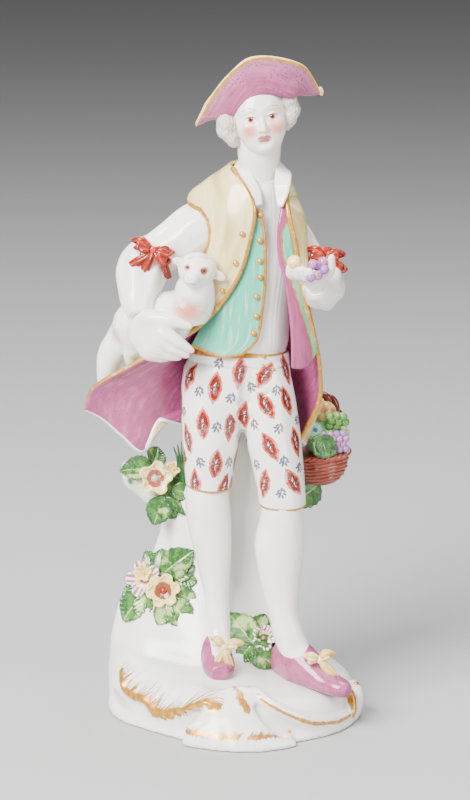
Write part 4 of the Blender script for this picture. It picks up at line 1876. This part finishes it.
def seated(shape, centre, normal, spin):
    """Lays a shape that faces -Y against a surface at centre."""
    facing = unit(np.asarray(normal, float))
    up = unit(Z - facing * (Z @ facing)) if abs(Z @ facing) < 0.95 else unit(Y - facing * (Y @ facing))
    right = np.cross(up, facing)
    c, s = math.cos(spin), math.sin(spin)
    right, up = c * right - s * up, s * right + c * up
    points = shape.points @ np.stack([right, -facing, up])
    return Shape(points + np.asarray(centre), shape.faces, **shape.values)


PETAL_HALF = 0.42


def make_flower(centre, normal, radius, spin, petals, cup):
    """A cup-shaped flower of overlapping petals round a raised middle."""
    shapes = []
    across = np.linspace(-1, 1, 15)[None, :]
    along = np.linspace(0, 1, 21)[:, None]
    for k in range(petals):
        half = radius * 0.53 * np.sin(math.pi * np.clip(along, 0.04, 0.9) ** 0.9 * 0.86 + 0.16) ** 0.8
        x = across * half
        z = along * radius * (1 - 0.2 * across ** 4) + 0.2
        y = -cup * radius * along ** 1.4 * 0.7 - 0.5 + 0.35 * half * across ** 2 * -0.5 + 0.3 * (k % 2)
        middle = np.stack(np.broadcast_arrays(x, y - 0.25 * np.abs(across) ** 2, z), -1)
        petal = sheet(middle, PETAL_HALF, SHEET_RIM)
        petal.values = {"reach": np.hypot(petal.points[:, 0], petal.points[:, 2]) / radius,
                        "side": 1.6 * np.arctan2(petal.points[:, 0], petal.points[:, 2] + 0.5 * radius)}
        turned = placed(petal.points, (0, 0, 0), roll=TAU * k / petals)
        shapes.append(Shape(turned, petal.faces, **petal.values))
    heart = ball((0, -1.3, 0), (radius * 0.2, 1, radius * 0.2), sides=28, rings=16)
    heart.values = {name: np.zeros(len(heart.points)) for name in ("reach", "side")}
    shapes.append(heart)
    return seated(joined(shapes), centre, normal, spin)


def button(centre, normal, radius):
    shape = ball((0, -0.35 * radius, 0), (radius, 0.75 * radius, radius), sides=20, rings=12)
    return seated(shape, centre, normal, 0)


def hair_paint():
    paint = Paint("Powdered hair", POWDER)
    paint.graded("hollow", 0.1, 1.0, POWDER_SHADE, 0.6)
    paint.graded("strand", -0.1, -0.9, POWDER_STRAND, 0.35)
    paint.blots(3, 0.5, 0.75, POWDER_WARM, 0.35, 3)
    return paint.done()


# Everything in its place

def add_basket_and_fruit():
    wicker = wicker_paint("Wicker enamel", WICKER, WICKER_SHADE, WICKER_LIGHT, woven=True)
    build("Basket", make_basket(), wicker)
    dark = wicker_paint("Handle enamel", HANDLE, HANDLE_SHADE, HANDLE_LIGHT)
    build("Basket handle", make_handle(), dark)
    round_fruit = ball((33, 8, 119.6), (4.3, 4, 4.3), sides=40, rings=26)
    under = ball((37, 16, 116), (8.6, 7.6, 9), sides=48, rings=32)
    green_fruit = fruit_paint("Painted green fruit", PEAR, STRAW, LIGHT_GREEN)
    build("Round fruit", joined([round_fruit, under]), green_fruit)
    peach = ball((34, 12, 130), (4.4, 4.2, 4.4), sides=48, rings=32)
    pear = ball((38.6, 15, 126), (4.6, 4.4, 5), sides=48, rings=32)
    build("Peaches", joined([peach, pear]), fruit_paint("Painted peach", YELLOW, ORANGE_RED, GLAZE))
    spot = ball((34, 4.3, 121), (1, 0.6, 1), sides=20, rings=12)
    build("Fruit eye", spot, fruit_paint("Fruit eye", BLUE, TEAL, BLUE))
    green = [(40 + 2.9 * column + 0.9 * (row % 2), 8.6 + 0.7 * row + column, 126.4 - 2.5 * row - 0.6 * column)
             for row in range(4) for column in range(3)]
    green_grapes = fruit_paint("Green grapes", GREEN, LIGHT_GREEN, YELLOW)
    build("Green grapes", grapes(green, 2), green_grapes)
    lilac = [(37.4 + 2.8 * column + 1.2 * (row % 2), 5.4 + 1.1 * column, 118.4 - 2.2 * row)
             for row in range(4) for column in range(4)]
    lilac_grapes = fruit_paint("Lilac grapes", GRAPE, PALE_PUCE, GLAZE)
    build("Lilac grapes", grapes(lilac, 1.7), lilac_grapes)


def fruit_paint(name, ground, blush, light):
    paint = Paint(name, ground)
    paint.blots(5, 0.45, 0.65, blush, 0.7)
    paint.blots(3, 0.55, 0.75, light, 0.6, 3)
    return paint.done()


def wicker_paint(name, ground, shade, light, woven=False):
    paint = Paint(name, ground)
    paint.blots(5, 0.45, 0.7, shade, 0.4)
    paint.blots(3, 0.55, 0.75, light, 0.35)
    if woven:
        paint.graded("bulge", 0.75, 0.3, shade, 0.85)
    return paint.done()


def leaf_paint():
    paint = Paint("Painted leaves", GREEN)
    paint.blots(4, 0.42, 0.6, DARK_GREEN, 0.75)
    paint.blots(6, 0.52, 0.64, LIGHT_GREEN, 0.8)
    paint.graded("vein", 0.35, 0.9, LEAF_VEIN, 0.45)
    edge = paint.math("MINIMUM", paint.value("first"), paint.value("last"))
    paint.over(paint.below(edge, 0.45, 0.35), DARK_GREEN, 0.6)
    return paint.done()


def flower_paint(name, petal, streak, ring, heart, stripes=0.0):
    paint = Paint(name, petal)
    reach = paint.value("reach")
    rays = paint.noise(vector=paint.vector(paint.times(paint.value("side"), 14), reach), detail=2)
    paint.over(paint.times(paint.ramp(rays, 0.45, 0.6), paint.ramp(reach, 1.0, 0.3)), streak, 0.6)
    if stripes:
        wave = paint.math("SINE", paint.times(paint.value("side"), 9))
        paint.over(paint.ramp(paint.size_of(wave), 0.62, 0.8), PUCE, stripes)
    edge = paint.plus(reach, paint.times(paint.noise(size=1.6), 0.22))
    paint.over(paint.below(edge, 0.66, 0.04), ring, 0.9)
    paint.over(paint.below(edge, 0.36, 0.03), heart, 0.9)
    return paint.done()


# Leaves, each from its stalk to its tip as seen from the front (x, z, x, z)
LEAVES = [
    (-38.2, 105.4, -46.6, 105), (-37.4, 105, -43, 108.6), (-34.8, 107, -29.6, 112.6),
    (-30.4, 92.6, -33.6, 83.4), (-31.4, 92, -26.4, 85.6), (-26.6, 99, -22, 87.4), (-27, 100, -21, 101),
    (-26, 96, -20, 94), (-34, 62.6, -38, 67), (-32, 61, -32, 68), (-29, 60, -20.4, 68),
    (-26, 57, -18, 56.4), (-25.4, 51, -18, 48), (-26.6, 46.4, -20, 38.4), (-28.4, 45.4, -31.6, 38.6),
    (-39.2, 50, -44.8, 40.4), (-38.4, 49, -37, 41), (-41, 52.4, -46, 48), (-25.4, 58.4, -19, 62),
    (6.6, 29, 0, 39), (7.5, 30, 12.7, 38), (5.8, 27, 1, 22), (7.6, 26.4, 14.4, 19.4),
    (8.4, 28.6, 15.8, 25), (39.6, 98.4, 31.4, 89.4), (33, 97.6, 30.6, 90.4),
]
# Flowers: x and z of the middle, radius, turn, kind and lean
FLOWERS = [
    (-34.1, 101, 6.8, 0.2, "cream", 0), (-30.4, 105, 3, 0.4, "bud", 0), (-30, 51.6, 6.8, 0.3, "red", 0.3),
    (-37.6, 56.4, 7.4, 0.9, "striped", -0.3), (-37.4, 59, 3.4, 0, "bud", 0),
    (11.6, 30.6, 5, 0.4, "striped", 0),
]
# Kinds of flower: slot, petals, cup, how far off the surface, and paint
FLOWER_KINDS = {
    "cream": ("enamel_yellow", 5, 0.45, 1.8, ("Cream flower", YELLOW, GLAZE, RED, POOLED)),
    "red": ("enamel_yellow", 6, 0.45, 1.8, ("Red-hearted flower", YELLOW, STRAW, DARK_RED, RED)),
    "striped": ("enamel_purple", 5, 0.45, 1.8, ("Striped flower", GLAZE, GLAZE, YELLOW, PUCE, 0.9)),
    "bud": ("enamel_yellow", 5, 0.9, 3.6, ("Bud", YELLOW, STRAW, STRAW, LIGHT_GREEN)),
}


def add_foliage(tree):
    """Leaves and flowers on the stump, two leaves under the basket and some blades of grass."""
    leaves = []
    for x0, z0, x1, z1 in LEAVES:
        place, normal = seen(tree, x0, z0)
        facing = unit(normal + np.array([0, -0.7, 0]))
        spin = math.atan2(x1 - x0, z1 - z0)
        leaves.append(make_leaf(place, facing, spin, 1.25 * math.hypot(x1 - x0, z1 - z0)))
    facing = unit(np.array([0.2, -1, 0.1]))
    leaves.append(make_leaf((33.4, 4.4, 116), facing, 2.05, 11))
    leaves.append(make_leaf((36.4, 4.8, 116.6), facing, 2.8, 7.5))
    build("Leaves", joined(leaves), leaf_paint())
    blades = []
    for k in range(5):
        path = [(-24 + 0.7 * k, 9, 100 - 2 * k), (-24.4 + 0.9 * k, 5.6, 108),
                (-26 + 1.7 * k, 3.4, 114 + 1.2 * (k % 3))]
        blades.append(rod(path, (0.7, 0.55, 0.3), sides=10, steps=24))
    build("Blades of grass", joined(blades), fruit_paint("Grass enamel", DARK_GREEN, GREEN, GREEN))
    paints = {kind: flower_paint(*row[-1]) for kind, row in FLOWER_KINDS.items()}
    for number, (x, z, radius, spin, kind, lean) in enumerate(FLOWERS):
        slot, petals, cup, lift, _ = FLOWER_KINDS[kind]
        place, normal = seen(tree, x, z)
        facing = unit(normal + np.array([0.25 * lean, -1.2, 0.1]))
        flower = make_flower(place + lift * facing, facing, radius, spin, petals, cup)
        build(f"Flower {number + 1}", flower, paints[kind])


# Buttons by piece: x and z where each is seen, and its radius
BUTTONS = {
    "Coat buttons": [(3.1, 205.4, 1.25), (0.4, 193.2, 1.25), (-5, 181.4, 1.25)],
    "Waistcoat buttons": [(10.6, 213.4, 1.25), (10.4, 202.6, 1.25), (10.5, 194, 1.25), (10.6, 187.2, 1.25),
                          (9.1, 178.9, 1.25), (9, 170.6, 1.25), (7.8, 163.4, 1.25)],
    "Fly buttons": [(12.1, 153.4, 0.8), (11.7, 149.6, 0.8), (16, 147.8, 0.8), (9, 146.1, 0.5)],
}


def add_buttons(trees):
    """Gilt buttons, each piece of them on its own garment."""
    gold = Paint("Gilt", GLAZE)
    gold.gild(gold.ramp(gold.noise(size=50), -1, -0.5))
    material = gold.done()
    for name, places in BUTTONS.items():
        shapes = [button(*seen(trees[name], x, z), radius) for x, z, radius in places]
        build(name, joined(shapes), material)


def bow_paint(name, ground, shade, light):
    paint = Paint(name, ground)
    strokes = paint.noise(size=1.8, detail=3, stretch=(1, 0.6, 0.6))
    paint.over(paint.ramp(strokes, 0.52, 0.66), shade, 0.3)
    paint.over(paint.ramp(strokes, 0.46, 0.34), light, 0.4)
    paint.graded("pleat", 0.1, -0.8, shade, 0.8)
    paint.graded("pleat", 0.5, 1.0, light, 0.5)
    return paint.done()


ground = make_ground()
ground_tree = tree_of(ground)
build("Ground", ground, ground_paint())
white = glaze()
for side, stations in (("Right", RIGHT_LEG), ("Left", LEFT_LEG)):
    build(side + " stocking", loft(stations, sides=72, steps=70), white)
breeches, breeches_tree = make_breeches()
build("Breeches", breeches, print_paint())
puce = shoe_paint()
for side, stations, across in (("Right", RIGHT_SHOE, (1, 0, 0)), ("Left", LEFT_SHOE, (1, 0.8, 0))):
    build(side + " shoe", shoe(stations, across), puce)

build("Shirt", make_shirt(), white)
flesh = Paint("Flesh", FLESH)
flesh = flesh.over(flesh.ramp(flesh.value("hollow"), 0.1, 1.4), ROSE, 0.14).done()
build("Neck", loft(NECK, sides=72, steps=30), flesh)
build("Collar", drape(COLLAR, across=96, down=18, thickness=1.5), white)

waistcoat_right = drape(WAISTCOAT_RIGHT, across=48, down=100, thickness=1.9)
build("Waistcoat right front", waistcoat_right, waistcoat_paint("right"))
waistcoat_left = drape(WAISTCOAT_LEFT, across=36, down=104, thickness=1.7)
waistcoat_left.values["lining"] = 1 - waistcoat_left.values["lining"]
facing_width = np.interp(waistcoat_left.points[:, 2], *zip(*LEFT_STRIP))
waistcoat_left.values["strip"] = waistcoat_left.values["first"] - facing_width
build("Waistcoat left front", waistcoat_left, waistcoat_paint("left"))
right_sleeve = make_sleeve(RIGHT_UPPER, RIGHT_LOWER)
left_sleeve = make_sleeve(LEFT_UPPER, LEFT_LOWER)
coat = drape(COAT, across=164, down=106, ripple=folds_of_skirt)
add_armholes(coat, (right_sleeve, left_sleeve))
build("Coat", coat, coat_paint())
build("Right sleeve", right_sleeve, white)
build("Left sleeve", left_sleeve, white)
build("Right hand", make_right_hand(), flesh)
build("Left hand", make_left_hand(), flesh)
build("Lamb", make_lamb(), lamb_paint())
build("Head", make_head(), face_paint())
build("Hair", make_hair(), hair_paint())
build("Hat", make_hat(), hat_paint())
add_basket_and_fruit()
add_foliage(ground_tree)
add_buttons({"Coat buttons": tree_of(coat), "Waistcoat buttons": tree_of(waistcoat_right),
             "Fly buttons": breeches_tree})
red = bow_paint("Red ribbon", ORANGE_RED, DARK_RED, CORAL)
yellow = bow_paint("Yellow ribbon", PALE_YELLOW, STRAW, GLAZE)
bands = {"Right arm bow": ribbon(RIGHT_ARM_RIBBON, (2.4,) * 4),
         "Left arm bow": unpleated(make_band(*ARM_BAND))}
for name, bow in BOWS.items():
    if name in bands:
        build(name, joined([make_bow(*bow), bands[name]]), red)
    else:
        build(name, make_bow(*bow), yellow)
peach = ball((24, -37.4, 200), (3, 3, 3), sides=40, rings=28)
build("Peach", peach, fruit_paint("Small peach", YELLOW, STRAW, GLAZE))
held = [
    (29.6, -37.4, 196.6), (33, -36.4, 198.4), (33.4, -39, 195), (36, -37, 197), (31.4, -38.4, 199.4),
    (35.6, -35.4, 200), (30.6, -40, 194.4),
]
build("Held grapes", grapes(held, 2.0), fruit_paint("Held grapes", GRAPE, PALE_PUCE, SLATE))

set_stage()
